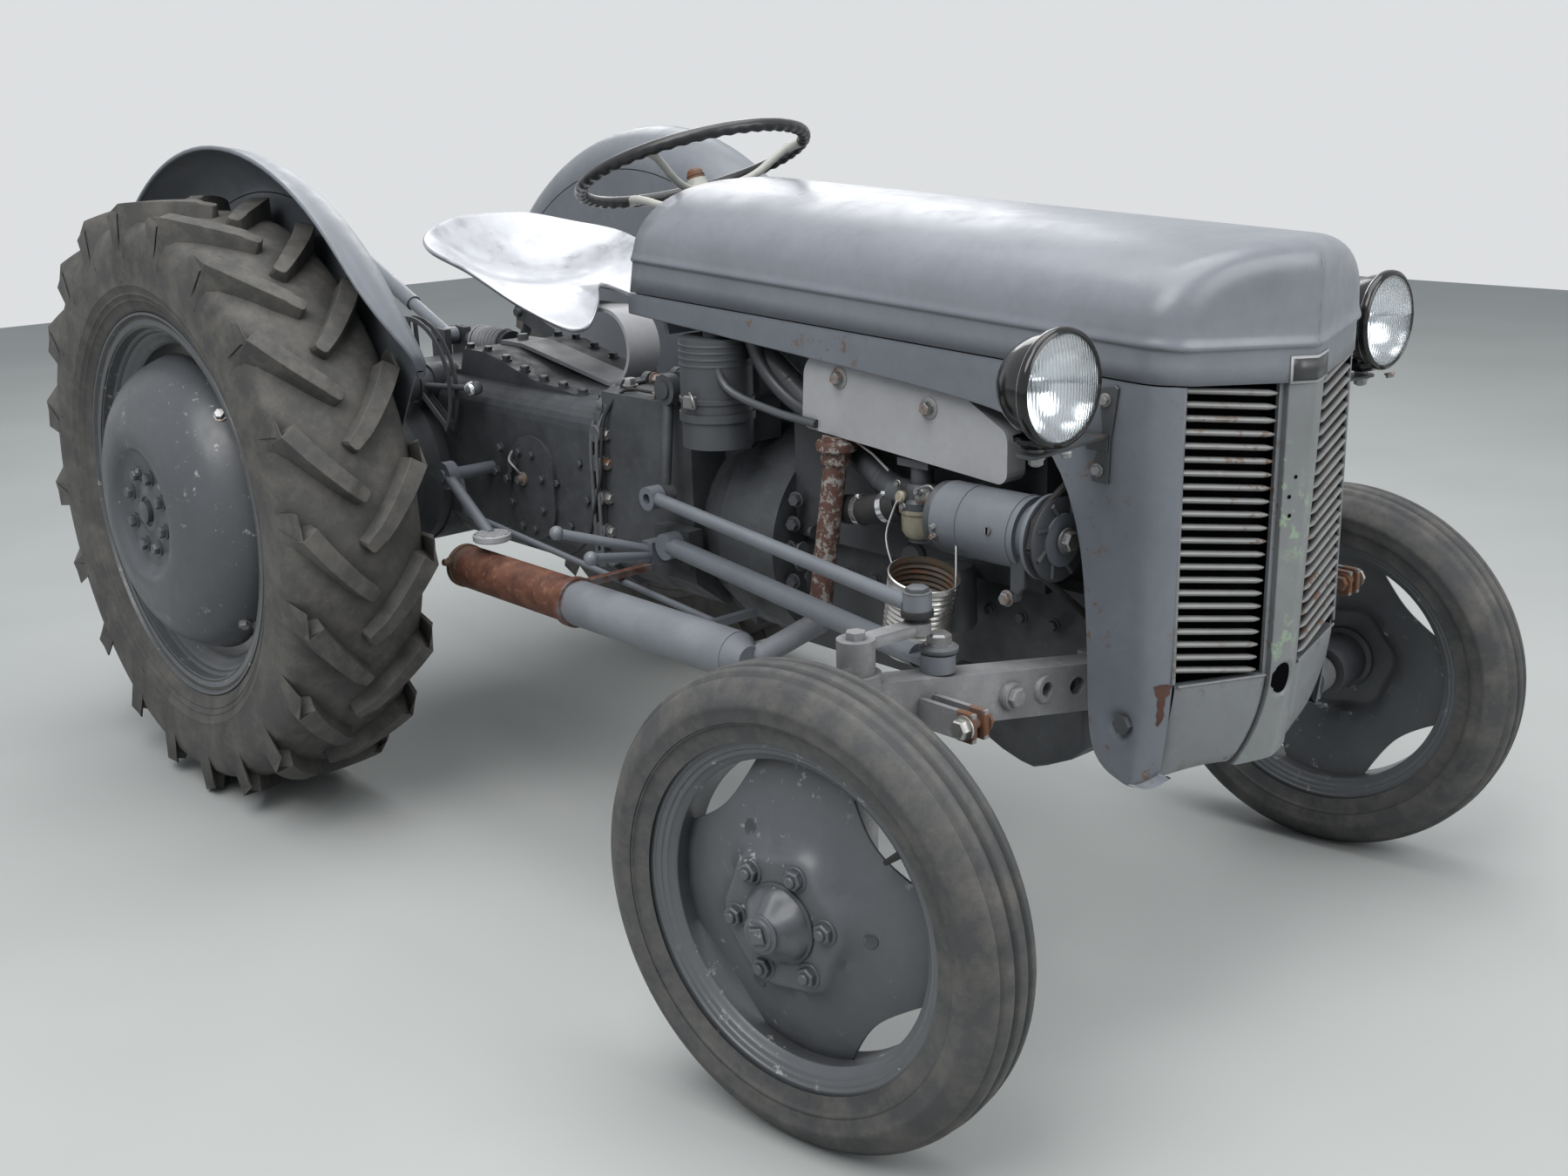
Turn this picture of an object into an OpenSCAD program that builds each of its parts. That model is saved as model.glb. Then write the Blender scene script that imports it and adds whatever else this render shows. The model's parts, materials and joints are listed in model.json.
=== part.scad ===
// Vintage farm tractor with an open engine, a tip-up bonnet, four road wheels and a rear linkage.
// Millimetres. +X is forward, +Y is left, +Z is up, and the tyres stand on z = 0.
// Inside the modules x is counted from the rear axle, and tractor() moves it to the middle of the whole.

/* [Wheels] */
// Rear axle to front axle
wheelbase = 1778; // [1700:1:1900]
// Middle of one rear tyre to the other
rear_track = 1220; // [1200:1:1300]
// Middle of one front tyre to the other
front_track = 1344; // [1320:1:1420]
// Rear tyre radius out to the tips of its lugs
rear_tyre_r = 600; // [590:1:620]
// Width of the rear tyre's section
rear_tyre_w = 276; // [260:1:290]
// Height of a rear lug above the carcass
lug_h = 28; // [15:1:32]
// Number of lugs on each side of a rear tyre
lug_count = 20; // [14:1:22]
// Radius of the rear rim's flange
rear_rim_r = 386; // [380:1:392]
// Width of the rear rim over its flanges
rear_rim_w = 232; // [220:1:236]
// Front tyre radius
front_tyre_r = 337; // [330:1:345]
// Width of the front tyre's section
front_tyre_w = 112; // [108:1:120]
// Radius of the front rim's flange
front_rim_r = 259; // [255:1:263]
// Width of the front rim over its flanges
front_rim_w = 98; // [92:1:100]
// Bolt circle of all four wheel centres
wheel_pcd = 152.4; // [140:0.1:160]

/* [Bonnet] */
// Half width of the bonnet over its shoulders
bonnet_half_w = 238; // [230:1:245]
// Rear end of the bonnet's top
bonnet_rear_x = 940; // [920:1:960]
// Front of the nose, along the middle
nose_x = 2093; // [2070:1:2100]
// Height of the bonnet's top at its rear end
bonnet_top_z = 1220; // [1200:1:1235]
// Angle by which the bonnet falls to the front
bonnet_fall = 2.7; // [2:0.1:3.2]
// Thickness of the bonnet's sheet
sheet_t = 3; // [2:0.5:4]
// Height of the grille's lower edge
grille_bottom_z = 579; // [560:1:600]
// Number of bars on each side of the grille
bar_count = 22; // [16:1:24]
// Radius of a grille bar
bar_r = 3.5; // [2.5:0.5:4]
// Height of the bonnet's pivot bolts
pivot_z = 523; // [515:1:535]
// Place of the bonnet's pivot bolts
pivot_x = 1972; // [1965:1:1980]

/* [Lamps] */
// Radius over a headlamp's rim
lamp_r = 76; // [70:1:85]
// Depth of a headlamp's bowl
lamp_depth = 84; // [70:1:95]
// Middle of the tractor to the middle of a headlamp
lamp_y = 392; // [370:1:410]
// Height of the headlamps' middle
lamp_z = 1010; // [1000:1:1030]

/* [Engine and gearbox] */
// Front end of the engine block
engine_front_x = 1745; // [1735:1:1755]
// Rear end of the engine block
engine_rear_x = 1200; // [1190:1:1210]
// Half width of the engine block
engine_half_w = 132; // [120:1:140]
// Height of the crankshaft
crank_z = 551; // [545:1:560]
// Joint between the gearbox housing and the centre housing
gearbox_rear_x = 731; // [720:1:745]
// Half width of the gearbox housing
gearbox_half_w = 188; // [180:1:192]
// Height of the gearbox housing's flat top
gearbox_top_z = 842; // [830:1:850]
// Height of the centre housing's top
centre_top_z = 806; // [795:1:812]
// Radius of the silencer
silencer_r = 41; // [35:1:46]
// Radius of the air cleaner
cleaner_r = 62; // [55:1:66]
// Radius of the dynamo
dynamo_r = 54; // [48:1:56]

/* [Front axle] */
// Middle of a front tyre to its kingpin
kingpin_in = 112; // [105:1:125]
// How far the axle's middle lies ahead of the kingpins
axle_sweep = 72; // [50:1:85]
// Height of the axle beam
beam_h = 82; // [70:1:90]
// Width of the axle beam
beam_w = 56; // [45:1:60]
// Angle by which the front wheels stand turned to the left
rest_steer = 7.92; // [0:0.01:12]
// Radius of a kingpin
kingpin_r = 18; // [15:0.5:20]

/* [Seat and controls] */
// Height of the seat's rear rim
seat_top_z = 1130; // [1110:1:1150]
// Half width of the seat
seat_half_w = 235; // [215:1:245]
// Radius of the steering wheel's rim
steering_wheel_r = 223; // [205:1:230]
// Angle of the steering column from the vertical
column_tilt = 20; // [15:1:28]
// Radius of the mudguard about the rear axle
fender_r = 695; // [685:1:710]

/* [Hitch] */
// Length of a lower link between its eyes
lower_link_length = 785; // [760:1:800]
// Radius of the hole in a lower link's ball
lower_link_bore_r = 11.2; // [11.1:0.1:11.5]
// Length of a lift arm
lift_arm_length = 260; // [240:1:275]
// Length of the top link between its eyes
top_link_length = 640; // [600:1:660]
// Radius of the hole in the top link's ball
top_link_bore_r = 9.7; // [9.6:0.1:10]
// Radius of the power take-off shaft
pto_r = 14.3; // [14:0.1:17.5]

/* [Fits] */
// Radial clearance of pins, shafts and kingpins
pin_clear = 0.3; // [0.2:0.05:0.5]
// Gap between two seated pieces
seat_gap = 0.3; // [0.2:0.05:0.5]

/* [Hidden] */
$fn = 64;

// Wheels
lug_foot = 66;
rear_axle_z = rear_tyre_r;
front_axle_z = front_tyre_r;
tyre_gap = 1;
rear_well_r = rear_rim_r - 62;
rear_seat_r = rear_rim_r - 30;
front_well_r = front_rim_r - 43;
front_seat_r = front_rim_r - 18;
rim_t = 5;
well_share = 0.54;
seat_share = 0.66;
dish_depth = 182;
floor_depth = 163;
trumpet_end = 560;
drum_r = 176;
stub_r = 19;
half_shaft_r = 30;

// Overall length and the shift that puts the origin under the middle
link_eye_r = 21;
lower_pivot = [-10, 222, 395];
lower_drop = 65;
lower_spread = 130;
lower_end = [lower_pivot.x - sqrt(lower_link_length * lower_link_length - lower_drop * lower_drop
    - lower_spread * lower_spread), lower_pivot.y + lower_spread, lower_pivot.z - lower_drop];
overall_front = wheelbase + kingpin_in * sin(rest_steer)
    + max([for (p = front_tyre_side()) p.x * cos(rest_steer) + p.y * sin(rest_steer)]);
overall_rear = lower_end.x - link_eye_r;
rear_axle_x = -(overall_front + overall_rear) / 2;

// Steering
kingpin_y = front_track / 2 - kingpin_in;
beam_mid = [wheelbase + axle_sweep, 150, 534];
kingpin = [wheelbase, kingpin_y, 585];
kingpin_boss_h = 96;
arm_z = kingpin.z + kingpin_boss_h / 2 + 31;
arm_t = 16;
arm_end = [wheelbase + 22, kingpin_y - 108, arm_z];
drop_pivot = [955, 204, 872];
drop_end = [980, 258, 690];
drag_r = 11.5;
drag_ball_h = 22;
pad_t = 30;

// Bonnet
parting_rear = [901, 1041];
parting_fall = (1041 - 985) / (nose_x - 901);
nose_corner_r = 50;
nose_corner_x = nose_x - 108;
grille_half_w = 197;
nose_rake = 1.5;
rake_z = 985;
nose_bottom_z = 430;

// Seat, column and wheel
wheel_rim_centre = [796, 0, 1241];
column_len = 375;
column_foot = [wheel_rim_centre.x + column_len * sin(column_tilt), 0,
    wheel_rim_centre.z - column_len * cos(column_tilt)];

// Hitch
lift_shaft = [100, 0, 790];
lift_rest = 20;
lift_arm_y = 232;
lift_tip = [lift_shaft.x - lift_arm_length * cos(lift_rest), lift_arm_y,
    lift_shaft.z + lift_arm_length * sin(lift_rest)];
rod_share = 0.52;
rod_eye = lower_pivot + rod_share * (lower_end - lower_pivot);
top_pivot = [-96, 0, 852];
top_rise = 23;
top_end = top_pivot + top_link_length * [-cos(top_rise), 0, sin(top_rise)];
pto_z = 505;
housing_rear_x = -112;
cover_z = 816;
seat_pad_z = 862;
spring_axis_z = 852;

// Colours
grey = [0.42, 0.45, 0.49];
dark_grey = [0.27, 0.28, 0.30];
light_grey = [0.66, 0.67, 0.68];
black = [0.06, 0.06, 0.07];
rubber = [0.14, 0.14, 0.14];
silver = [0.78, 0.79, 0.80];
rust = [0.34, 0.18, 0.12];

// Points of an arc, from one angle to another
function arc(cx, cy, r, from, to, steps) =
    [for (i = [0 : steps]) let (a = from + (to - from) * i / steps) [cx + r * cos(a), cy + r * sin(a)]];
function mirrored(points) = [for (i = [len(points) - 1 : -1 : 0]) [points[i][0], -points[i][1]]];
function shifted(points, d) = [for (i = [len(points) - 1 : -1 : 0]) points[i] + d];
function mix(a, b, t) = a + (b - a) * t;

// Moves the rear axle to its place in the whole
module tractor() translate([rear_axle_x, 0, 0]) children();
// Everything is drawn on the right-hand side, and mirrored for the left
module left() mirror([0, 1, 0]) children();
module both() {
    children();
    left() children();
}
// y of a point on the right-hand side
function right(p) = [p.x, -p.y, p.z];

module cyl_x(r, x0, x1) translate([x0, 0, 0]) rotate([0, 90, 0]) cylinder(r = r, h = x1 - x0);
module cyl_y(r, y0, y1) translate([0, y0, 0]) rotate([-90, 0, 0]) cylinder(r = r, h = y1 - y0);
// Cross cylinder at p, with its seam turned away from the bar that joins it
module eye(p, r, y0, y1) translate([p.x, 0, p.z]) rotate([0, 110, 0]) cyl_y(r, p.y + y0, p.y + y1);
module rod(a, b, r) {
    v = b - a;
    translate(a) rotate([0, acos(v.z / norm(v)), atan2(v.y, v.x)]) cylinder(r = r, h = norm(v));
}
// Bar of rectangular section from a to b
module beam(a, b, w, h) {
    v = b - a;
    translate(a) rotate([0, -asin(v.z / norm(v)), atan2(v.y, v.x)])
        translate([0, -w / 2, -h / 2]) cube([norm(v), w, h]);
}
module block(x0, x1, y0, y1, z0, z1) translate([x0, y0, z0]) cube([x1 - x0, y1 - y0, z1 - z0]);
// Outline in side view, from y0 to y1
module side_plate(y0, y1) translate([0, y1, 0]) rotate([90, 0, 0]) linear_extrude(y1 - y0) children();
// Outline in front view (y, z), from x0 to x1
module front_plate(x0, x1) translate([x0, 0, 0]) rotate([90, 0, 90]) linear_extrude(x1 - x0) children();
// Outline in plan, from z0 to z1
module plan_plate(z0, z1) translate([0, 0, z0]) linear_extrude(z1 - z0) children();
module round_slab(w, h, r) {
    square([w - 2 * r, h], center = true);
    square([w, h - 2 * r], center = true);
    for (sx = [-1, 1], sy = [-1, 1]) translate([sx * (w / 2 - r), sy * (h / 2 - r)]) circle(r);
}
// Wheel drawn with its axle on +Z pointing out, placed on the right-hand side
module right_wheel(x, track, z) translate([x, -track / 2, z]) rotate([90, 0, 0]) children();

// Rear tyre: columns are radius and distance from the middle plane, crown to bead
function rear_tyre_side() = let (w = rear_tyre_w / 2, r = rear_tyre_r - lug_h, f = rear_rim_r + tyre_gap)
    [[r, 0], [r - 3, w * 0.5], [r - 12, w * 0.8], [r - 30, w * 0.93], [r - 70, w * 0.99], [r - 110, w],
     [f + 34, w * 0.97], [f + 10, w * 0.87], [f, rear_rim_w / 2 - rim_t - tyre_gap],
     [rear_seat_r + tyre_gap, rear_rim_w / 2 - rim_t - tyre_gap]];
// One lug in plan, from the middle out to the shoulder: distance round the tyre, distance from the middle
function lug_plan() = [[-105, -8], [-72, -8], [-52, 22], [-10, rear_tyre_w * 0.22], [70, rear_tyre_w * 0.44],
    [118, rear_tyre_w * 0.54], [74, rear_tyre_w * 0.54], [27, rear_tyre_w * 0.44], [-50, rear_tyre_w * 0.22], [-90, 22]];
module lug() rotate([0, 90, 0]) translate([0, 0, rear_tyre_r - lug_foot]) linear_extrude(lug_foot + 20)
    polygon([for (p = lug_plan()) [-p.y, p.x]]);
// Outline that the lugs are trimmed to
function lug_limit() = let (w = rear_tyre_w / 2, r = rear_tyre_r)
    [[r, 0], [r - 3, w * 0.5], [r - 12, w * 0.86], [r - 30, w - 3], [r - 72, w - 3], [r - 100, w * 0.93]];
module rear_tyre() color(rubber) right_wheel(0, rear_track, rear_axle_z) {
    side = rear_tyre_side();
    rotate_extrude($fn = 96) polygon(concat(mirrored(side), [for (i = [1 : len(side) - 1]) side[i]]));
    intersection() {
        rotate_extrude($fn = 96) polygon(concat(mirrored(lug_limit()), [for (i = [1 : 5]) lug_limit()[i]]));
        for (i = [0 : lug_count - 1]) {
            rotate(i * 360 / lug_count) lug();
            rotate((i + 0.5) * 360 / lug_count) mirror([0, 0, 1]) lug();
        }
    }
}

// Rim in section: flange, seat and well, with the sheet's other face a thickness inside
module rim(flange, seat, well, width) {
    w = width / 2;
    well_w = w * well_share;
    seat_w = w * seat_share;
    half = [[well, well_w], [seat, seat_w], [seat, w - rim_t], [flange, w - rim_t], [flange, w],
        [seat - rim_t, w], [seat - rim_t, seat_w + rim_t * 0.8], [well - rim_t, well_w + rim_t * 0.9]];
    rotate_extrude($fn = 96) polygon(concat(half, mirrored(half)));
}
// Dished rear wheel centre: columns are radius and distance out from the tyre's middle plane
function dish_side() = [[0, floor_depth], [112, floor_depth], [126, dish_depth - 4], [140, dish_depth],
    [165, dish_depth - 2], [205, dish_depth - 11], [240, dish_depth - 28], [268, dish_depth - 54],
    [287, dish_depth - 86], [297, dish_depth - 112], [rear_well_r - 3, dish_depth - 122]];
module wheel_bolts(count, z, r, h) for (i = [0 : count - 1]) rotate(i * 360 / count)
    translate([wheel_pcd / 2, 0, z]) cylinder(r = r, h = h, $fn = 6);
module rear_wheel() color(grey) right_wheel(0, rear_track, rear_axle_z) {
    rim(rear_rim_r, rear_seat_r, rear_well_r, rear_rim_w);
    difference() {
        rotate_extrude($fn = 96) polygon(concat(dish_side(), shifted(dish_side(), [0, -6])));
        for (i = [0 : 3]) rotate(45 + i * 90) translate([rear_well_r + 28, 0, -20])
            cylinder(r = 78, h = 120);
    }
    wheel_bolts(8, floor_depth - 1, 11, 14);
    // Brake drum, hub and half shaft
    drum_back = trumpet_end + 34 - rear_track / 2;
    translate([0, 0, drum_back]) cylinder(r = drum_r, h = 90);
    translate([0, 0, drum_back + 89]) cylinder(r = 105, h = floor_depth - drum_back - 94);
    translate([0, 0, drum_back - 84]) cylinder(r = half_shaft_r, h = 90);
}

// Front tyre with three ribs: columns are radius and distance from the middle plane, crown to bead
function front_tyre_side() = let (w = front_tyre_w / 2, r = front_tyre_r, f = front_rim_r + tyre_gap)
    [[r, 0], [r, 9], [r - 8, 12], [r - 8, 17], [r - 2, 20], [r - 3, 31], [r - 12, 35], [r - 16, w * 0.75],
     [r - 34, w * 0.97], [r - 48, w], [f + 8, w * 0.93], [f, front_rim_w / 2 - rim_t - tyre_gap],
     [front_seat_r + tyre_gap, front_rim_w / 2 - rim_t - tyre_gap]];
module front_tyre() color(rubber) right_wheel(wheelbase, front_track, front_axle_z) {
    side = front_tyre_side();
    rotate_extrude($fn = 96) polygon(concat(mirrored(side), [for (i = [1 : len(side) - 1]) side[i]]));
}
function front_disc_side() = [[30, 56], [84, 56], [97, 44], [112, 35], [150, 24], [190, 10],
    [206, 3], [front_well_r - 3, 1]];
module front_wheel() color(grey) right_wheel(wheelbase, front_track, front_axle_z) {
    rim(front_rim_r, front_seat_r, front_well_r, front_rim_w);
    difference() {
        rotate_extrude($fn = 96) polygon(concat(front_disc_side(), shifted(front_disc_side(), [0, -5])));
        for (i = [0 : 3]) {
            rotate(35 + i * 90) translate([front_well_r + 22, 0, -20]) cylinder(r = 62, h = 60);
            rotate(80 + i * 90) translate([128, 0, -20]) cylinder(r = 9, h = 80);
        }
    }
    wheel_bolts(6, 55, 12, 13);
    // Hub on its stub axle
    difference() {
        union() {
            translate([0, 0, -52]) cylinder(r = 46, h = 105);
            translate([0, 0, 52]) cylinder(r1 = 52, r2 = 22, h = 34);
            translate([0, 0, 86]) cylinder(r = 20, h = 10);
            translate([-11, -11, 95]) cube([22, 22, 12]);
        }
        translate([0, 0, -60]) cylinder(r = stub_r + pin_clear, h = 120);
    }
}

// Engine with its sump, flywheel end and lower pulley
module engine() color(dark_grey) {
    block(engine_rear_x, engine_front_x, -engine_half_w, engine_half_w, 640, 880);
    block(engine_rear_x + 10, engine_front_x, -92, 92, 879, 945);
    side_plate(-112, 112) polygon([[engine_rear_x, 641], [engine_rear_x, 440], [1480, 440], [1560, 490],
        [engine_front_x, 490], [engine_front_x, 641]]);
    // Thermostat housing, timing cover and crank pulley
    block(engine_front_x - 27, engine_front_x, -26, 26, 944, 984);
    translate([0, 0, crank_z]) cyl_x(62, engine_front_x - 1, engine_front_x + 30);
    // Starter, oil filter and distributor on the left
    translate([0, 168, 610]) cyl_x(48, engine_rear_x + 5, engine_rear_x + 240);
    translate([1500, 165, 600]) cylinder(r = 42, h = 190);
    translate([1400, 118, 879]) cylinder(r = 32, h = 60);
    block(1210, 1270, 125, 160, 590, 640);
    block(1470, 1530, 125, 160, 660, 760);
}
module rocker_cover() color(dark_grey) {
    front_plate(engine_rear_x + 40, engine_front_x - 30)
        polygon(concat([[-70, 945 + seat_gap]], [[70, 945 + seat_gap]], arc(45, 980, 25, 0, 90, 6),
            arc(-45, 980, 25, 90, 180, 6)));
    translate([1640, 0, 1004]) cylinder(r = 22, h = 14);
}

// Gearbox and clutch housing: square at the back, round at the bell
module gearbox_housing() color(grey) {
    front_plate(gearbox_rear_x + seat_gap, 990) polygon([[-gearbox_half_w, gearbox_top_z], [-gearbox_half_w, 520],
        [-120, 468], [120, 468], [gearbox_half_w, 520], [gearbox_half_w, gearbox_top_z]]);
    side_plate(-110, 110) polygon([[985, 480], [1062, 440], [1062, 780], [985, gearbox_top_z - 10]]);
    translate([0, 0, 612]) cyl_x(190, 1060, engine_rear_x - seat_gap);
    translate([0, 0, 612]) rotate([0, 90, 0]) translate([0, 0, 985]) cylinder(r1 = 165, r2 = 190, h = 76);
    // Mounting pads of the radius rods and of the steering box
    both() block(912, 1010, -gearbox_half_w - pad_t, -gearbox_half_w + 2, 556, 625);
    translate([829, -100, gearbox_top_z - 1]) cylinder(r = 26, h = 12);
    for (p = [[770, -150], [880, -165], [770, 150], [880, 165]]) translate([p.x, p.y, gearbox_top_z - 1])
        cylinder(r = 11, h = 11, $fn = 6);
}

// Centre housing with the arched front flange, the lift cover and the oval side covers
module centre_housing() color(dark_grey) {
    difference() {
        union() {
            front_plate(-60, gearbox_rear_x - 20) polygon(concat([[-120, 462], [120, 462], [180, 520]],
                arc(130, centre_top_z - 50, 50, 0, 90, 6), arc(-130, centre_top_z - 50, 50, 90, 180, 6),
                [[-180, 520]]));
            // Arched flange at the gearbox
            front_plate(gearbox_rear_x - 22, gearbox_rear_x) polygon(concat([[-120, 455], [120, 455],
                [198, 516]], arc(118, gearbox_top_z - 72, 80, 0, 90, 8), arc(-118, gearbox_top_z - 72, 80, 90, 180, 8),
                [[-198, 516]]));
            // Round rear end with the power take-off boss
            translate([0, 0, 600]) cyl_y(172, -180, 180);
            front_plate(housing_rear_x, -50) polygon([[-125, 440], [125, 440], [150, 700], [110, 760],
                [-110, 760], [-150, 700]]);
            translate([0, 0, pto_z]) cyl_x(46, housing_rear_x - 26, housing_rear_x + 1);
            // Lift cover with the cross shaft's bosses and the top link's ears
            side_plate(-128, 128) polygon([[-66, centre_top_z - 40], [-66, cover_z], [150, cover_z], [166, seat_pad_z],
                [250, seat_pad_z], [420, 822], [600, centre_top_z - 1]]);
            both() translate([lift_shaft.x, 0, lift_shaft.z]) cyl_y(40, -184, -120);
            both() {
                block(-118, -60, -34, -18, 770, 872);
                translate([top_pivot.x, 0, top_pivot.z]) cyl_y(22, -34, -18);
                // Pins of the lower links
                block(-40, 20, -180, -150, 372, 470);
                translate([lower_pivot.x, 0, lower_pivot.z]) cyl_y(11, -lower_pivot.y - 26, -180);
                // Oval covers in the sides
                side_plate(-188, -176) translate([481, 620]) round_slab(150, 208, 70);
            }
        }
        translate([lift_shaft.x, 0, lift_shaft.z]) cyl_y(20 + pin_clear, -190, 190);
        translate([housing_rear_x - 64, 0, pto_z]) cyl_x(pto_r + 12, 0, 94);
    }
    translate([top_pivot.x, 0, top_pivot.z]) cyl_y(top_link_bore_r - pin_clear, -38, 38);
    // Control spring above the cover
    for (i = [0 : 5]) translate([55 + i * 16, 0, spring_axis_z]) rotate([0, 90, 0])
        rotate_extrude($fn = 32) translate([23, 0]) circle(7);
    translate([0, 0, spring_axis_z]) cyl_x(18, -4, 150);
    for (x = [28, 146]) {
        translate([0, 0, spring_axis_z]) cyl_x(32, x, x + 12);
        block(x, x + 12, -28, 28, cover_z - 4, spring_axis_z);
    }
}

// Bell-mouthed axle housings with their flanges and the brake back plates
module axle_trumpets() color(dark_grey) both() difference() {
    translate([0, 0, rear_axle_z]) rotate([90, 0, 0]) rotate_extrude($fn = 64)
        polygon([[0, 180.3], [168, 180.3], [168, 204], [140, 232], [104, 286], [84, 340], [76, 400], [72, trumpet_end - 30],
            [100, trumpet_end - 24], [100, trumpet_end], [184, trumpet_end + 4], [184, trumpet_end + 12],
            [0, trumpet_end + 12]]);
    translate([0, 0, rear_axle_z]) cyl_y(half_shaft_r + pin_clear, -trumpet_end - 20, -trumpet_end + 54);
}

// Cast carrier of the axle and the radiator, with the bonnet's pivot arms
module front_support() color(dark_grey) {
    difference() {
        union() {
            block(engine_front_x + 32, beam_mid.x - beam_w / 2 - seat_gap, -118, 118, 470, 650);
            block(engine_front_x + seat_gap, engine_front_x + 34, -118, -70, 500, 650);
            block(engine_front_x + seat_gap, engine_front_x + 34, 70, 118, 500, 650);
            block(beam_mid.x - beam_w / 2 - 6, 1956, -118, 118, 600, 650);
            block(beam_mid.x + beam_w / 2 + seat_gap, beam_mid.x + beam_w / 2 + 22, -90, 90, 480, 605);
        }
        translate([0, 0, beam_mid.z]) cyl_x(16, engine_front_x, beam_mid.x + 60);
    }
    translate([0, 0, beam_mid.z]) cyl_x(16 - pin_clear, engine_front_x + 60, beam_mid.x + beam_w / 2 + 34);
    // Arms and bolts on which the bonnet tips
    both() {
        beam([beam_mid.x + beam_w / 2 + 12, -100, 620], [pivot_x, -200, pivot_z + 30], 10, 40);
        block(pivot_x - 16, pivot_x + 16, -214, -194, pivot_z - 24, pivot_z + 62);
        translate([pivot_x, 0, pivot_z]) cyl_y(8, -bonnet_half_w - 5, -212);
        translate([pivot_x, 0, pivot_z]) rotate([90, 0, 0]) translate([0, 0, bonnet_half_w - 2])
            cylinder(r = 14, h = 9, $fn = 6);
    }
}

// Axle beam, swept back and up to the kingpin bosses, with the clevis brackets on its front
module front_axle() color(dark_grey) difference() {
    union() {
        block(beam_mid.x - beam_w / 2, beam_mid.x + beam_w / 2, -beam_mid.y, beam_mid.y,
            beam_mid.z - beam_h / 2, beam_mid.z + beam_h / 2);
        both() {
            beam(right(beam_mid) + [4, 6, 0], right(kingpin) + [0, 10, 0], beam_w - 8, beam_h - 12);
            translate([kingpin.x, -kingpin.y, kingpin.z - kingpin_boss_h / 2])
                cylinder(r = kingpin_r + 16, h = kingpin_boss_h);
            for (s = [0, 24]) translate([0, s, 0]) block(wheelbase + 18, wheelbase + 134, -480, -472, 545, 585);
        }
    }
    both() translate([kingpin.x, -kingpin.y, kingpin.z - kingpin_boss_h])
        cylinder(r = kingpin_r + pin_clear, h = 2 * kingpin_boss_h);
    translate([0, 0, beam_mid.z]) cyl_x(16, beam_mid.x - 60, beam_mid.x + 60);
    both() for (i = [0 : 2]) translate([0, -262 + i * 56, beam_mid.z + 18 - i * 7])
        cyl_x(13, beam_mid.x - 80, beam_mid.x + 80);
}

// Height just above the beam at a distance from the middle
function axle_top_at(y) = mix(beam_mid.z, kingpin.z, (y + 6 - beam_mid.y) / (kingpin_y - beam_mid.y - 4))
    + (beam_h / 2 - 6) / cos(7.2) + 24 * tan(7.2) + seat_gap;
// Radius rods from the gearbox pads to the top of the axle
rod_rear = [976, gearbox_half_w + pad_t + seat_gap, 598];
rod_front_y = 425;
rod_front = [wheelbase + 22, rod_front_y, axle_top_at(rod_front_y) + 8];
module radius_rods() color(grey) both() {
    translate([rod_rear.x, 0, rod_rear.z]) cyl_y(24, -rod_rear.y - 30, -rod_rear.y);
    rod([rod_rear.x + 10, -rod_rear.y - 16, rod_rear.z], [rod_front.x - 46, -rod_front.y + 10, rod_front.z], 17);
    beam([rod_front.x - 60, -rod_front.y + 12, rod_front.z], [rod_front.x + 2, -rod_front.y, rod_front.z], 34, 10);
    translate([rod_front.x, -rod_front.y, rod_front.z - 8]) cylinder(r = 24, h = 24);
    translate([rod_front.x, -rod_front.y, rod_front.z + 15]) cylinder(r = 16, h = 14, $fn = 6);
}

module radiator() color(dark_grey) {
    block(1895, 1950, -185, 185, 651, 935);
    block(1888, 1958, -190, 190, 935, 985);
    block(1888, 1958, -190, 190, 650 + seat_gap, 690);
    translate([1925, 0, 984]) cylinder(r = 34, h = 26);
    translate([0, 0, 963]) cyl_x(17, engine_front_x + seat_gap, 1897);
}
module fan() color(dark_grey) {
    translate([0, 0, 800]) cyl_x(14, engine_front_x + seat_gap, 1830);
    translate([0, 0, 800]) cyl_x(52, 1775, 1800);
    for (i = [0 : 3]) translate([1822, 0, 800]) rotate([45 + i * 90, 0, 0]) translate([0, 0, 20])
        rotate([0, 0, 28]) translate([-2, -32, 0]) cube([4, 64, 118]);
    translate([0, 0, 800]) cyl_x(34, 1814, 1832);
}
module dynamo() color(grey) {
    translate([0, -222, 760]) cyl_x(dynamo_r, 1642, 1800);
    translate([0, -222, 760]) cyl_x(dynamo_r - 8, 1798, 1822);
    translate([0, -222, 760]) cyl_x(62, 1822, 1828);
    translate([0, -222, 760]) cyl_x(38, 1826, 1850);
    translate([0, -222, 760]) cyl_x(14, 1848, 1862);
    block(1650, 1790, -200, -engine_half_w - seat_gap, 712, 726);
    for (x = [1650, 1778]) block(x, x + 12, -190, -engine_half_w - seat_gap, 712, 780);
}

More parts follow.
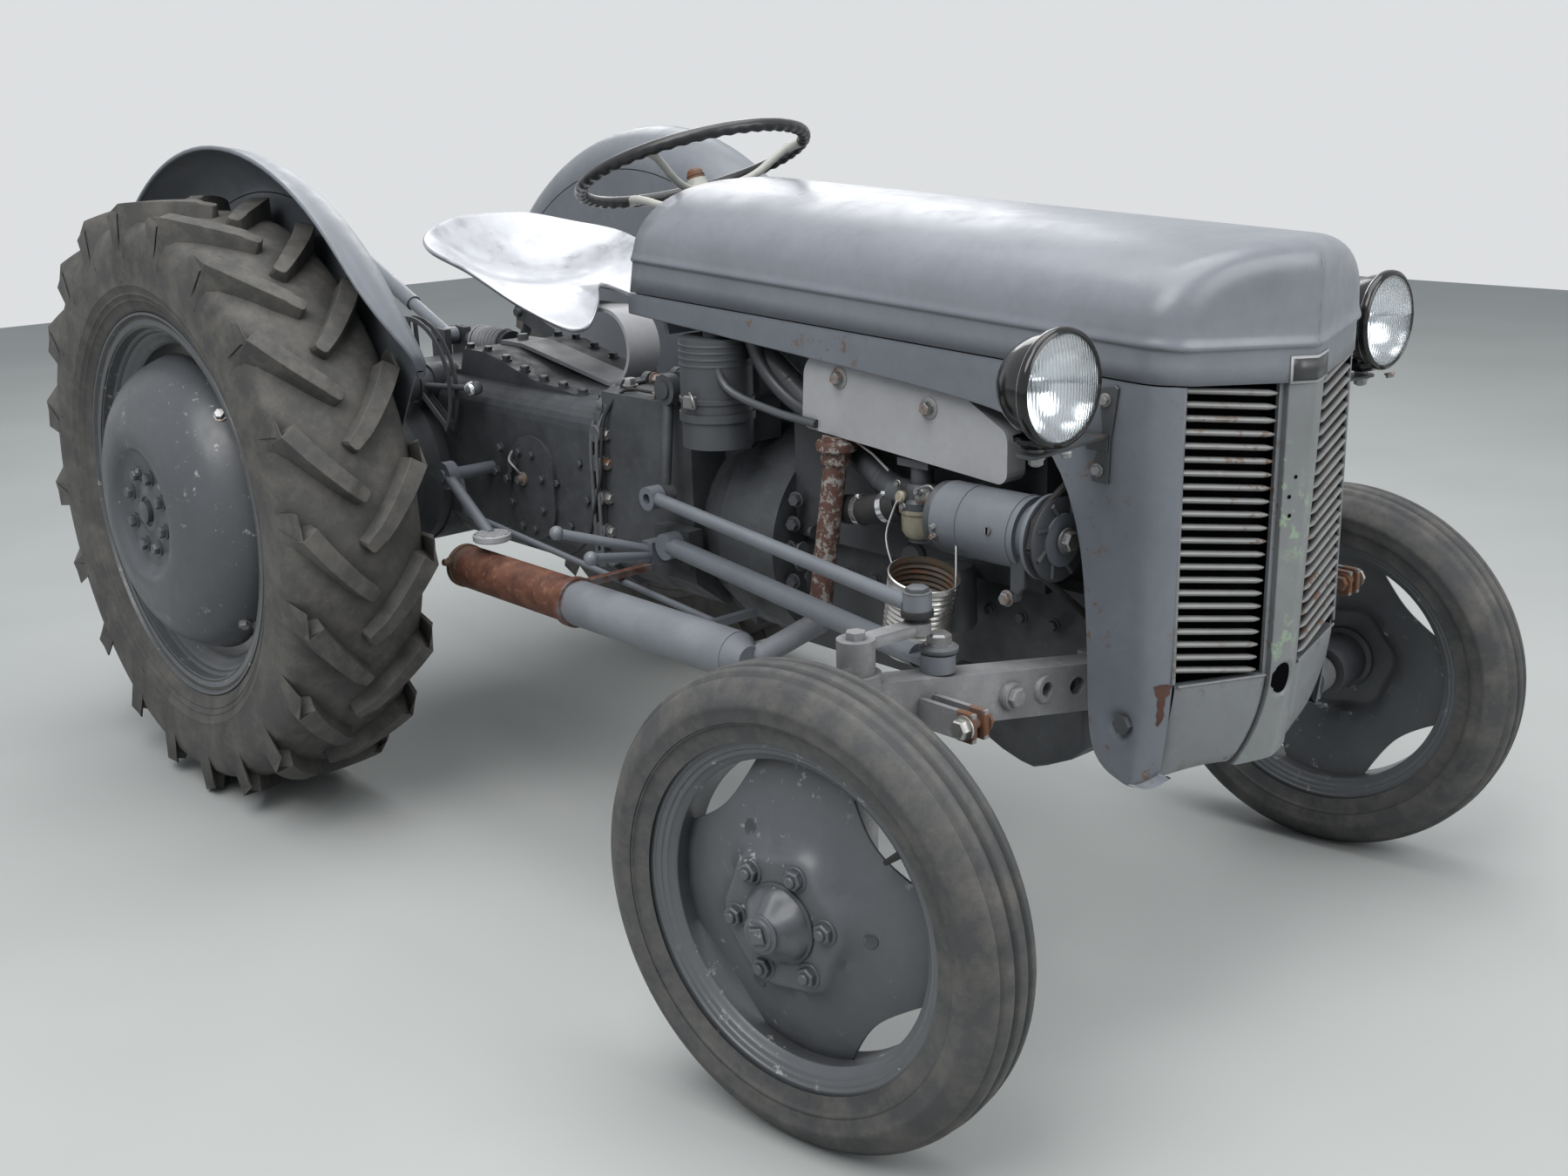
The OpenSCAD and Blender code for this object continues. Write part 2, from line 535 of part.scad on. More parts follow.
module air_cleaner() color(dark_grey) translate([1086, -204, 0]) {
    translate([0, 0, 846]) cylinder(r = cleaner_r, h = 131);
    translate([0, 0, 792]) cylinder(r = cleaner_r - 1, h = 55);
    translate([0, 0, 838]) cylinder(r = cleaner_r + 3, h = 14);
    translate([0, 0, 976]) cylinder(r = 21, h = 27);
    translate([-22, 50, 787.3]) cube([40, 78, 70]);
    translate([-22, 50, 850]) cube([40, 30, 110]);
}
intake_path = [[1160, -162, 952], [1225, -156, 905], [1310, -155, 848], [1370, -157, 812],
    [1450, -172, 778], [1500, -188, 768]];
module intake() color(dark_grey) {
    for (i = [0 : len(intake_path) - 2]) rod(intake_path[i], intake_path[i + 1], 21);
    for (i = [0 : len(intake_path) - 2]) translate(intake_path[i]) sphere(22);
    // Carburettor body, bowl and flange
    translate([1548, -188, 738]) cylinder(r = 30, h = 46);
    translate([1548, -188, 700]) cylinder(r = 22, h = 40);
    translate([0, -188, 768]) cyl_x(24, 1490, 1590);
    translate([1548, -188, 780]) cylinder(r = 18, h = 40);
    block(1516, 1580, -210, -engine_half_w - seat_gap, 818, 830);
}
module manifold_cover() color(light_grey) {
    outline = concat(arc(1362, 932, 44, 180, 95, 6), [[1450, 974], [1560, 966], [1640, 950]],
        arc(1712, 880, 30, 40, 0, 4), arc(1724, 838, 18, 0, -85, 4), arc(1330, 868, 16, -95, -180, 3));
    side_plate(-218, -178) polygon(outline);
    for (p = [[1400, 940], [1590, 915]]) translate([p.x, -225, p.y]) rotate([-90, 0, 0]) cylinder(r = 10, h = 8, $fn = 6);
    block(1370, 1700, -179, -engine_half_w - seat_gap, 845, 872);
}
module exhaust() color(rust) {
    rod([1382, -207, 843.8], [1382, -212, 800], 24);
    rod([1382, -212, 802], [1376, -250, 545], 19);
    translate([1376, -250, 545]) sphere(20);
    rod([1376, -250, 545], [1330, -330, 500], 19);
    translate([1330, -330, 500]) sphere(20);
    translate([0, -360, 497]) cyl_x(silencer_r, 520, 1300);
    translate([0, -360, 497]) cyl_x(silencer_r - 4, 480, 522);
    translate([0, -360, 497]) rotate([0, 90, 0]) translate([0, 0, 1299]) cylinder(r1 = silencer_r - 1, r2 = 22, h = 30);
    // Hanger strap to the gearbox housing
    difference() {
        translate([0, -360, 497]) cyl_x(silencer_r + 5, 850, 866);
        translate([0, -360, 497]) cyl_x(silencer_r - 1, 840, 876);
    }
    block(850, 866, -330, -gearbox_half_w - seat_gap, 522, 534);
}
module fuel_tank() color(dark_grey) {
    front_plate(985, 1530) polygon(concat([[-150, 1024]], [[150, 1024]], arc(130, 1095, 40, 0, 80, 5),
        arc(-130, 1095, 40, 100, 180, 5)));
    for (x = [1250, 1480]) block(x, x + 30, -60, 60, 1005 + seat_gap, 1026);
    translate([1180, 0, 1130]) cylinder(r = 26, h = 20);
}

// Bulkhead inside the bonnet's rear end, with dials towards the driver
module dash() color(grey) {
    front_plate(948, 958) polygon(concat([[-200, 968], [200, 968]],
        [for (a = [0 : 10 : 180]) [222 * cos(a), 1060 + 128 * sin(a)]]));
    for (y = [-90, 90]) translate([0, y, 1100]) cyl_x(36, 940, 950);
    translate([0, -160, 1060]) cyl_x(9, 915, 950);
    translate([912, -160, 1060]) sphere(14);
    block(957, 983, -120, 120, 968, 1040);
    block(948, 990, -60, 60, 930 + seat_gap, 969);
}
module steering_box() color(dark_grey) {
    block(888, 1085, -75, 75, gearbox_top_z + seat_gap, 930);
    translate([drop_pivot.x, 0, drop_pivot.z]) cyl_y(29, -drop_pivot.y + 20, drop_pivot.y - 20);
    translate([drop_pivot.x, 0, drop_pivot.z]) cyl_y(15, -drop_pivot.y - 16, drop_pivot.y + 16);
    difference() {
        rod([column_foot.x, 0, column_foot.z], mix(column_foot, wheel_rim_centre, 0.74), 21);
        rod(mix(column_foot, wheel_rim_centre, 0.2), mix(column_foot, wheel_rim_centre, 0.9), 11);
    }
    rod(mix(column_foot, wheel_rim_centre, 0.66) + [-10, -14, 0], mix(column_foot, wheel_rim_centre, 0.70) + [-60, -80, 10], 4);
    translate(mix(column_foot, wheel_rim_centre, 0.70) + [-60, -80, 10]) sphere(11);
}
module steering_wheel() color(black) translate(wheel_rim_centre) rotate([0, -column_tilt, 0]) {
    rotate_extrude($fn = 64) translate([steering_wheel_r - 12, 0]) circle(12, $fn = 24);
    for (a = [60, 180, 300]) rotate([0, 0, a]) {
        rod([0, 0, -52], [steering_wheel_r * 0.55, 0, -34], 7);
        translate([steering_wheel_r * 0.55, 0, -34]) sphere(7);
        rod([steering_wheel_r * 0.55, 0, -34], [steering_wheel_r - 14, 0, -2], 7);
    }
    translate([0, 0, -72]) cylinder(r = 24, h = 34);
    translate([0, 0, -39]) cylinder(r = 15, h = 20);
    translate([0, 0, -20]) sphere(14);
    translate([0, 0, -210]) cylinder(r = 11 - pin_clear, h = 140);
}

// Seat pan: a pressed bowl on a smooth rim, with a lobe under each thigh
seat_mid = [330, 0, seat_top_z - 128];
seat_rim = [[98, 0, 0], [108, 92, -4], [150, 180, -26], [250, seat_half_w, -48], [372, 226, -84],
    [490, 196, -142], [578, 152, -184], [590, 108, -184], [548, 52, -150], [493, 0, -122]];
seat_loop = concat([for (p = seat_rim) [p.x, -p.y, seat_top_z + p.z]],
    [for (i = [len(seat_rim) - 2 : -1 : 1]) [seat_rim[i].x, seat_rim[i].y, seat_top_z + seat_rim[i].z]]);
seat_cuts = 4;
seat_rings = [0.14, 0.3, 0.45, 0.6, 0.74, 0.86, 0.95, 1];
function smooth(a, b, c, d, t) = 0.5 * (2 * b + (c - a) * t + (2 * a - 5 * b + 4 * c - d) * t * t
    + (3 * b - a - 3 * c + d) * t * t * t);
seat_edge = let (m = len(seat_loop)) [for (i = [0 : m - 1], k = [0 : seat_cuts - 1])
    smooth(seat_loop[(i + m - 1) % m], seat_loop[i], seat_loop[(i + 1) % m], seat_loop[(i + 2) % m], k / seat_cuts)];
function seat_at(p, s) = let (q = seat_mid + s * (p - seat_mid))
    [q.x, q.y, seat_mid.z + (p.z - seat_mid.z) * pow(s, 2.3)];
module seat_pan() color(silver) {
    m = len(seat_edge);
    rings = len(seat_rings);
    face = concat([seat_mid], [for (s = seat_rings) each [for (p = seat_edge) seat_at(p, s)]]);
    all = concat(face, [for (p = face) p - [0, 0, sheet_t + 1]]);
    n = len(face);
    top = concat([for (i = [0 : m - 1]) [0, 1 + (i + 1) % m, 1 + i]],
        [for (r = [0 : rings - 2], i = [0 : m - 1]) let (a = 1 + r * m + i, b = 1 + r * m + (i + 1) % m)
            each [[a, b, b + m], [a, b + m, a + m]]]);
    edge = [for (i = [0 : m - 1]) let (a = 1 + (rings - 1) * m + i, b = 1 + (rings - 1) * m + (i + 1) % m)
        each [[a, b, b + n], [a, b + n, a + n]]];
    polyhedron(points = all, faces = concat(top, [for (f = top) [f[2] + n, f[1] + n, f[0] + n]], edge), convexity = 6);
}
// Wide flat spring that carries the seat, with its post
spring_mid = [548, 889];
spring_r = 77;
spring_w = 76;
spring_t = 8;
module seat_spring() color(silver) {
    side_plate(-spring_w / 2, spring_w / 2) {
        translate(spring_mid) difference() {
            circle(spring_r);
            circle(spring_r - spring_t);
            translate([-2 * spring_r, -2 * spring_r]) square([2 * spring_r, 4 * spring_r]);
        }
        translate([spring_mid.x + 1, spring_mid.y - spring_r]) rotate(180 - spring_slope)
            translate([0, -spring_t]) square([(spring_mid.x - 250) / cos(spring_slope) + 2, spring_t]);
        translate([172, seat_pad_z + seat_gap]) square([82, spring_t]);
        translate([318, spring_mid.y + spring_r - spring_t]) square([spring_mid.x - 317, spring_t]);
    }
    translate([342, 0, spring_mid.y + spring_r - 1])
        cylinder(r = 12, h = seat_mid.z - sheet_t - 1 - seat_gap - spring_mid.y - spring_r + 1);
    translate([200, 0, seat_pad_z + 6]) cylinder(r = 12, h = 14, $fn = 6);
}
spring_slope = atan2(seat_pad_z + seat_gap - spring_mid.y + spring_r, spring_mid.x - 250);

// Mudguards: a flat wall beside the tyre and a crown that narrows to the front
fender_wall_y = 448;
fender_w = 176;
fender_from = 22;
fender_to = 142;
module fenders() color(grey) both() {
    rim_z = rear_axle_z;
    difference() {
        side_plate(-fender_wall_y - sheet_t, -fender_wall_y) polygon(concat([[150, 650]],
            [for (a = [fender_from : 6 : fender_to]) [(fender_r - 1) * cos(a), rim_z + (fender_r - 1) * sin(a)]],
            [[-150, 650]]));
        translate([0, 0, rim_z]) cyl_y(90, -fender_wall_y - 20, -fender_wall_y + 20);
    }
    intersection() {
        translate([0, -fender_wall_y, rim_z]) rotate([90, 0, 0]) rotate([0, 0, fender_from - 0.5])
            rotate_extrude(angle = fender_to - fender_from + 1, $fn = 96)
            polygon(concat([[fender_r - sheet_t, 0], [fender_r, 0]], arc(fender_r - 22, fender_w - 22, 22, 0, 80, 4),
                arc(fender_r - 22, fender_w - 22, 22 - sheet_t, 80, 0, 4)));
        plan_plate(600, 1400) polygon([[-760, -fender_wall_y + 5], [760, -fender_wall_y + 5],
            [720, -fender_wall_y - 26], [430, -fender_wall_y - 120], [150, -fender_wall_y - fender_w - 5],
            [-760, -fender_wall_y - fender_w - 5]]);
    }
    // Brackets down to the axle housing
    block(-60, 60, -fender_wall_y - 1, -fender_wall_y + 40, 677, 689);
}

module footrests() color(grey) both() {
    block(916, 944, -250, -gearbox_half_w - pad_t - seat_gap, 560, 600);
    rod([930, -244, 584], [868, -400, 634], 9);
    translate([868, -400, 634]) sphere(13);
    rod([934, -244, 572], [967, -400, 606], 9);
    translate([967, -400, 606]) sphere(13);
}
pedal_shaft = [330, 640];
module pedals() color(grey) {
    both() {
        translate([pedal_shaft.x, 0, pedal_shaft.y]) cyl_y(13, -305, -180 - seat_gap);
        translate([pedal_shaft.x, 0, pedal_shaft.y]) cyl_y(28, -300, -276);
        rod([pedal_shaft.x, -288, pedal_shaft.y], [560, -342, 566], 11);
        translate([577, -350, 560]) cylinder(r = 34, h = 12);
        rod([pedal_shaft.x + 20, -262, pedal_shaft.y - 80], [1120, -250, 489], 6);
        rod([pedal_shaft.x, -262, pedal_shaft.y], [pedal_shaft.x + 20, -262, pedal_shaft.y - 80], 8);
        block(1112, 1126, -258, -gearbox_half_w + 25, 482, 496);
    }
}

// Lift control: two arched bands with a lever between them
quadrant_r = 138;
module quadrant() color(dark_grey) {
    for (y = [-194, -210]) translate([lift_shaft.x, y, lift_shaft.z]) rotate([90, 0, 0]) {
        rotate(-38) rotate_extrude(angle = 135, $fn = 96) translate([quadrant_r - 5, 0]) square([10, 4]);
        for (a = [-34, 93]) rotate(a) translate([28, -6, 0]) cube([quadrant_r - 28, 12, 4]);
    }
    difference() {
        translate([lift_shaft.x, 0, lift_shaft.z]) cyl_y(34, -214, -184 - seat_gap);
        translate([lift_shaft.x, 0, lift_shaft.z]) cyl_y(20 + pin_clear, -220, -180);
    }
    rod([lift_shaft.x + 30, -204, lift_shaft.z], [318, -204, 804], 6);
    translate([325, -204, 805]) sphere(14);
}
module gear_lever() color(dark_grey) {
    rod([807, 0, gearbox_top_z + 6], [822, 0, 920], 8);
    translate([823, 0, 926]) sphere(17);
    translate([806, 0, gearbox_top_z + seat_gap]) cylinder(r = 30, h = 20);
}
module pto_shaft() color(silver) translate([0, 0, pto_z]) {
    cyl_x(pto_r, housing_rear_x - 96, housing_rear_x - 32);
    cyl_x(pto_r - 2, housing_rear_x - 33, housing_rear_x - 24);
    cyl_x(pto_r + 7, housing_rear_x - 26, housing_rear_x + 30 - seat_gap);
}

// Outlines that the bonnet is cut from
function bonnet_crown(inset) = let (w = bonnet_half_w - inset, h = 124, n = 2.5)
    [for (a = [0 : 7.5 : 180]) [w * sign(cos(a)) * pow(abs(cos(a)), 2 / n),
        -h - inset + h * pow(sin(a), 2 / n)]];
module bonnet_section(inset) polygon(concat([[-bonnet_half_w + inset + 4, -400], [bonnet_half_w - inset - 4, -400],
    [bonnet_half_w - inset - 4, -138], [bonnet_half_w - inset, -134]], bonnet_crown(inset),
    [[-bonnet_half_w + inset, -134], [-bonnet_half_w + inset + 4, -138]]));
module nose_plan(inset) {
    w = bonnet_half_w - inset;
    half = concat([[700, -w]], arc(nose_corner_x, -bonnet_half_w + nose_corner_r, nose_corner_r - inset, -90, -17, 6),
        [[nose_x - inset * 1.05, -6]]);
    polygon(concat(half, mirrored(half)));
}
function parting_z(x) = parting_rear[1] - (x - parting_rear[0]) * parting_fall;
module top_side_view(inset, skirt) polygon([[parting_rear[0] - skirt, parting_z(parting_rear[0]) - skirt],
    [bonnet_rear_x - skirt, 1240], [1900, 1240], [1985, 1173 - inset], [2066, 1161 - inset], [2084, 1148 - inset],
    [nose_x - inset, 1120], [nose_x + 2 - inset, 1040], [nose_x - inset, parting_z(nose_x) - skirt]]);
module top_form(inset, skirt) intersection() {
    translate([bonnet_rear_x, 0, bonnet_top_z]) rotate([0, bonnet_fall, 0]) translate([-100, 0, 0])
        front_plate(0, 1400) bonnet_section(inset);
    side_plate(-300, 300) top_side_view(inset, skirt);
    plan_plate(800, 1300) nose_plan(inset);
}
module bonnet_top() color(grey) {
    difference() {
        top_form(0, 0);
        top_form(sheet_t, 30);
    }
    // Ridge down the nose, with a blank plate
    front_plate(nose_x - 12, nose_x + 5) translate([0, 1078]) round_slab(20, 130, 9);
    front_plate(nose_x - 12, nose_x + 4) polygon([[-34, 1034], [-24, 990], [24, 990], [34, 1034]]);
}
// Lower walls of the bonnet, leaning back a little to the bottom
module lower_wall(depth) translate([0, 0, rake_z]) rotate([0, nose_rake, 0]) translate([0, 0, -depth])
    linear_extrude(depth + 60) children();
module lower_shell(t) lower_wall(600) difference() {
    nose_plan(4);
    nose_plan(4 + t);
}
// Side view of one side panel: strip under the bonnet, arch, foot and front edge
function panel_outline() = concat([[888, 1005], [1492, 958]], arch_points(),
    [[1912, 560], [1920, 480], [1940, 448], [1986, 432], [2060, 437], [2120, parting_z(2120) - 0.6],
     [896, parting_z(896) - 0.6]]);
function arch_points() = [for (i = [0 : 8]) let (t = i / 8) [mix(mix(1740, 1840, t), mix(1840, 1902, t), t),
    mix(mix(934, 900, t), mix(900, 740, t), t)]];
module bonnet_sides() color(grey) both() difference() {
    intersection() {
        lower_shell(sheet_t);
        side_plate(-300, -grille_half_w) polygon(panel_outline());
        translate([880, 0, 0]) block(0, 1300, -300, -grille_half_w, 300, 1100);
    }
    translate([pivot_x, 0, pivot_z]) cyl_y(8 + pin_clear, -300, -200);
}
bar_pitch = (rake_z - 18 - grille_bottom_z) / (bar_count + 1);
module grille() color(light_grey) {
    // Frame, ridge and the plain panels below
    intersection() {
        lower_shell(5);
        union() {
            block(1900, 2200, -grille_half_w + seat_gap, grille_half_w - seat_gap, rake_z - 18, parting_z(nose_x) - 0.6);
            block(1900, 2200, -grille_half_w + seat_gap, grille_half_w - seat_gap, nose_bottom_z, grille_bottom_z);
            block(1900, 2200, -20, 20, nose_bottom_z, rake_z - 10);
            both() block(1900, 2200, -grille_half_w + seat_gap, -grille_half_w + 11, nose_bottom_z, rake_z - 10);
        }
    }
    both() for (i = [1 : bar_count]) translate([nose_x, 0, rake_z]) rotate([0, nose_rake, 0])
        translate([-nose_x, 0, grille_bottom_z + i * bar_pitch - rake_z])
        rod([nose_x - 19.5, -16, 0], [nose_corner_x + nose_corner_r * cos(17) - 4.5, -grille_half_w + 7, 0], bar_r);
}
module headlamps() color(black) both() {
    translate([1978, -lamp_y, lamp_z]) rotate([0, 90, 0]) rotate_extrude($fn = 64)
        polygon(concat([[0, -lamp_depth], [24, -lamp_depth]], arc(lamp_r - 48, -36, 44, -88, -20, 6),
            [[lamp_r - 3, -12], [lamp_r, -10], [lamp_r, 2], [lamp_r - 5, 5], [lamp_r - 9, 3], [0, 8]]));
    block(1925, 1965, -lamp_y - 16, -bonnet_half_w + 4 - seat_gap, 924, 930);
    block(1925, 1965, -bonnet_half_w - 2, -bonnet_half_w + 4 - seat_gap, 864, 982);
    translate([1945, -lamp_y, 918]) cylinder(r = 8, h = 26);
}

// Knuckle: kingpin, leg, stub axle and steering arm
module knuckle() color(dark_grey) {
    translate([kingpin.x, -kingpin.y, 0]) {
        translate([0, 0, front_axle_z - 30]) cylinder(r = 27, h = kingpin.z - kingpin_boss_h / 2 - seat_gap - front_axle_z + 30);
        translate([0, 0, front_axle_z]) cylinder(r = kingpin_r, h = arm_z + arm_t - front_axle_z);
        translate([0, 0, kingpin.z + kingpin_boss_h / 2 + seat_gap]) cylinder(r = 26, h = arm_z + arm_t - kingpin.z - kingpin_boss_h / 2 - seat_gap);
        translate([0, 0, arm_z + arm_t - 1]) cylinder(r = 14, h = 11, $fn = 6);
    }
    translate([kingpin.x, 0, front_axle_z]) cyl_y(34, -front_track / 2 + 62, -kingpin.y);
    translate([kingpin.x, 0, front_axle_z]) cyl_y(stub_r, -front_track / 2 - 52, -kingpin.y);
    beam([kingpin.x, -kingpin.y, arm_z + arm_t / 2], right(arm_end) + [0, 0, arm_t / 2], 26, arm_t);
    translate(right(arm_end)) cylinder(r = 19, h = arm_t);
}
// Steering turned by a: positive brings the right-hand wheel's front towards the middle
drop_share = 0.55;
function turned(p, a) = let (d = p - kingpin) kingpin + [d.x * cos(a) + d.y * sin(a), -d.x * sin(a) + d.y * cos(a), d.z];
function swung(p, a) = let (d = p - drop_pivot) drop_pivot + [d.x * cos(a) + d.z * sin(a), d.y, -d.x * sin(a) + d.z * cos(a)];
module steered(a) translate([kingpin.x, -kingpin.y, 0]) rotate([0, 0, a])
    translate([-kingpin.x, kingpin.y, 0]) children();
module swinging(a) translate([drop_pivot.x, 0, drop_pivot.z]) rotate([0, a, 0])
    translate([-drop_pivot.x, 0, -drop_pivot.z]) children();
module drop_arm() color(dark_grey) difference() {
    union() {
        translate([drop_pivot.x, 0, drop_pivot.z]) cyl_y(27, -drop_pivot.y - 12, -drop_pivot.y + 10);
        rod([drop_pivot.x, -drop_pivot.y - 1, drop_pivot.z - 20], [drop_end.x, -drop_end.y + 26, drop_end.z], 10);
        translate([drop_end.x, 0, drop_end.z]) cyl_y(20, -drop_end.y + 14, -drop_end.y + 36);
        translate([drop_end.x, 0, drop_end.z]) cyl_y(9, -drop_end.y - 8, -drop_end.y + 20);
    }
    translate([drop_pivot.x, 0, drop_pivot.z]) cyl_y(15 + pin_clear, -drop_pivot.y - 30, -drop_pivot.y + 30);
}
module drag_link(a) color(grey) {
    rear = swung(drop_end, a * drop_share);
    front = right(turned(arm_end, a)) + [0, 0, arm_t + drag_ball_h];
    difference() {
        translate([rear.x, 0, rear.z]) cyl_y(21, -rear.y - 16, -rear.y + 12);
        translate([rear.x, 0, rear.z]) cyl_y(9 + pin_clear, -rear.y - 30, -rear.y + 30);
    }
    start = right(rear) + [17, -3, 0];
    rod(start, front - [16, 0, 0], drag_r);
    // The cup stands clear of the arm below, where the swinging drop arm lowers it by 4 mm
    translate(front + [0, 0, -15]) cylinder(r = 20, h = 33);
    translate(front + [0, 0, -16.4]) cylinder(r1 = 17, r2 = 20, h = 4);
}

// Rear linkage
module lift_arms() color(dark_grey) difference() {
    union() {
        translate([lift_shaft.x, 0, lift_shaft.z]) cyl_y(20, -lift_arm_y - 14, lift_arm_y + 14);
        both() {
            translate([lift_shaft.x, 0, lift_shaft.z]) cyl_y(34, -lift_arm_y - 12, -lift_arm_y + 12);
            beam([lift_shaft.x, -lift_arm_y, lift_shaft.z], right(lift_tip), 15, 38);
            translate([lift_tip.x, 0, lift_tip.z]) cyl_y(22, -lift_arm_y - 8, -lift_arm_y + 8);
        }
    }
    both() translate([lift_tip.x, 0, lift_tip.z]) cyl_y(10, -lift_arm_y - 20, -lift_arm_y + 20);
}
module lift_rod() color(dark_grey) {
    rod_y = lift_arm_y + 30;
    foot_y = rod_eye.y - 30;
    // Fork at the lift arm, with its pin
    translate([lift_tip.x, 0, lift_tip.z]) cyl_y(10 - pin_clear, -lift_arm_y - 20, -lift_arm_y + 20);
    translate([lift_tip.x, 0, lift_tip.z]) cyl_y(20, -lift_arm_y - 34, -lift_arm_y - 10);
    rod([lift_tip.x, -lift_arm_y - 23, lift_tip.z], [rod_eye.x, -foot_y + 8, rod_eye.z], 12);
    translate([rod_eye.x, 0, rod_eye.z]) cyl_y(20, -foot_y - 6, -foot_y + 10);
}
module lower_link() color(dark_grey) difference() {
    p = right(lower_pivot);
    e = right(lower_end);
    union() {
        beam(mix(p, e, 0.022), mix(p, e, 0.98), 20, 38);
        translate([p.x, 0, p.z]) cyl_y(26, p.y - 20, p.y + 16);
        eye(e, link_eye_r, -18, 18);
        eye(right(rod_eye), 14, 0, 23);
    }
    translate([p.x, 0, p.z]) cyl_y(11 + pin_clear, p.y - 60, p.y + 60);
    translate([e.x, 0, e.z]) cyl_y(lower_link_bore_r, e.y - 60, e.y + 60);
}
module top_link() color(grey) difference() {
    union() {
        translate([top_pivot.x, 0, top_pivot.z]) cyl_y(20, -15, 15);
        rod(top_pivot, top_end, 14);
        translate([top_end.x, 0, top_end.z]) cyl_y(20, -17, 17);
        rod(mix(top_pivot, top_end, 0.25), mix(top_pivot, top_end, 0.75), 18);
    }
    translate([top_pivot.x, 0, top_pivot.z]) cyl_y(top_link_bore_r, -60, 60);
    translate([top_end.x, 0, top_end.z]) cyl_y(top_link_bore_r, -60, 60);
}

tractor() engine();
tractor() rocker_cover();
tractor() gearbox_housing();
tractor() centre_housing();
tractor() axle_trumpets();
tractor() front_support();
tractor() front_axle();
tractor() radius_rods();
tractor() radiator();
tractor() fan();
tractor() dynamo();
tractor() air_cleaner();
tractor() intake();
tractor() manifold_cover();
tractor() exhaust();
tractor() fuel_tank();
tractor() dash();
tractor() steering_box();
tractor() seat_pan();
tractor() seat_spring();
tractor() fenders();
tractor() footrests();
tractor() pedals();
tractor() quadrant();
tractor() gear_lever();
tractor() pto_shaft();
tractor() bonnet_top();
tractor() bonnet_sides();
tractor() grille();
tractor() headlamps();
tractor() left() rear_tyre();  // rear_tyre_left
tractor() rear_tyre();  // rear_tyre_right
tractor() left() rear_wheel();  // rear_wheel_left
tractor() rear_wheel();  // rear_wheel_right
tractor() left() steered(-rest_steer) front_tyre();  // front_tyre_left
tractor() steered(rest_steer) front_tyre();  // front_tyre_right
tractor() left() steered(-rest_steer) front_wheel();  // front_wheel_left
tractor() steered(rest_steer) front_wheel();  // front_wheel_right
tractor() left() steered(-rest_steer) knuckle();  // knuckle_left
tractor() steered(rest_steer) knuckle();  // knuckle_right
tractor() left() swinging(-rest_steer * drop_share) drop_arm();  // drop_arm_left
tractor() swinging(rest_steer * drop_share) drop_arm();  // drop_arm_right
tractor() left() drag_link(-rest_steer);  // drag_link_left
tractor() drag_link(rest_steer);  // drag_link_right
tractor() steering_wheel();
tractor() lift_arms();
tractor() left() lift_rod();  // lift_rod_left
tractor() lift_rod();  // lift_rod_right
tractor() left() lower_link();  // lower_link_left
tractor() lower_link();  // lower_link_right
tractor() top_link();
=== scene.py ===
"""Looks for the vintage farm tractor: materials, small parts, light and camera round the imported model."""
import json
from math import cos, exp, hypot, pi, radians, sin, sqrt

import bmesh
import bpy
from mathutils import Matrix, Vector

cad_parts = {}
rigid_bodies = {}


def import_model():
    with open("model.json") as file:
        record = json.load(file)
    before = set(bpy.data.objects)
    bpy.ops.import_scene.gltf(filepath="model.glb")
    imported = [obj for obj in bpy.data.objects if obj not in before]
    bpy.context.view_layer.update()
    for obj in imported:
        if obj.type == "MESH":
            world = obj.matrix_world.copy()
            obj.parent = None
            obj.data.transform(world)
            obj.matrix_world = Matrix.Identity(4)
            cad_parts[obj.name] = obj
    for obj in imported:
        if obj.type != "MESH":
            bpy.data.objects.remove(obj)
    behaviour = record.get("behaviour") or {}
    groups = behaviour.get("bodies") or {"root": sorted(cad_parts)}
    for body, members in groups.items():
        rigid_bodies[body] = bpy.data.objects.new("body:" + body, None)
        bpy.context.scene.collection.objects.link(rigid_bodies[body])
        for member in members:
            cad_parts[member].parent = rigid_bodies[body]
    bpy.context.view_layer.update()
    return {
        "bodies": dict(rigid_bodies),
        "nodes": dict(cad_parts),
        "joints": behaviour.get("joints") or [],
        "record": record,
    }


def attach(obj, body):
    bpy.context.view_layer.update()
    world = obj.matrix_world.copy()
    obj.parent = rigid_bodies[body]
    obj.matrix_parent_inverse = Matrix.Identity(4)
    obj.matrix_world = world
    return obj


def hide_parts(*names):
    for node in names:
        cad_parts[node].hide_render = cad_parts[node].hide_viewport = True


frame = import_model()
scene = bpy.context.scene
joints = {j["name"]: j for j in frame["joints"]}
REAR_X = joints["rear_right_spin"]["pos_m"][0]
MM = 0.001
UP, AHEAD, OUT = (0, 0, 1), (1, 0, 0), (0, -1, 0)


def at(x, y, z):
    """A point in the shared frame, from millimetres with x counted from the rear axle."""
    return Vector((x * MM + REAR_X, y * MM, z * MM))


def cosd(degrees):
    return cos(radians(degrees))


def sind(degrees):
    return sin(radians(degrees))


def polar(r, degrees, h):
    """A point at a radius, an angle and a height."""
    return (r * cosd(degrees), r * sind(degrees), h)


def between(table, x):
    """Straight-line value at x in a table of (x, value) pairs."""
    for (x0, v0), (x1, v1) in zip(table, table[1:]):
        if x <= x1:
            return v0 + (v1 - v0) * (x - x0) / (x1 - x0)
    return table[-1][1]


def smooth_shade(mesh, degrees):
    mesh.polygons.foreach_set("use_smooth", [True] * len(mesh.polygons))
    mesh.set_sharp_from_angle(angle=radians(degrees))


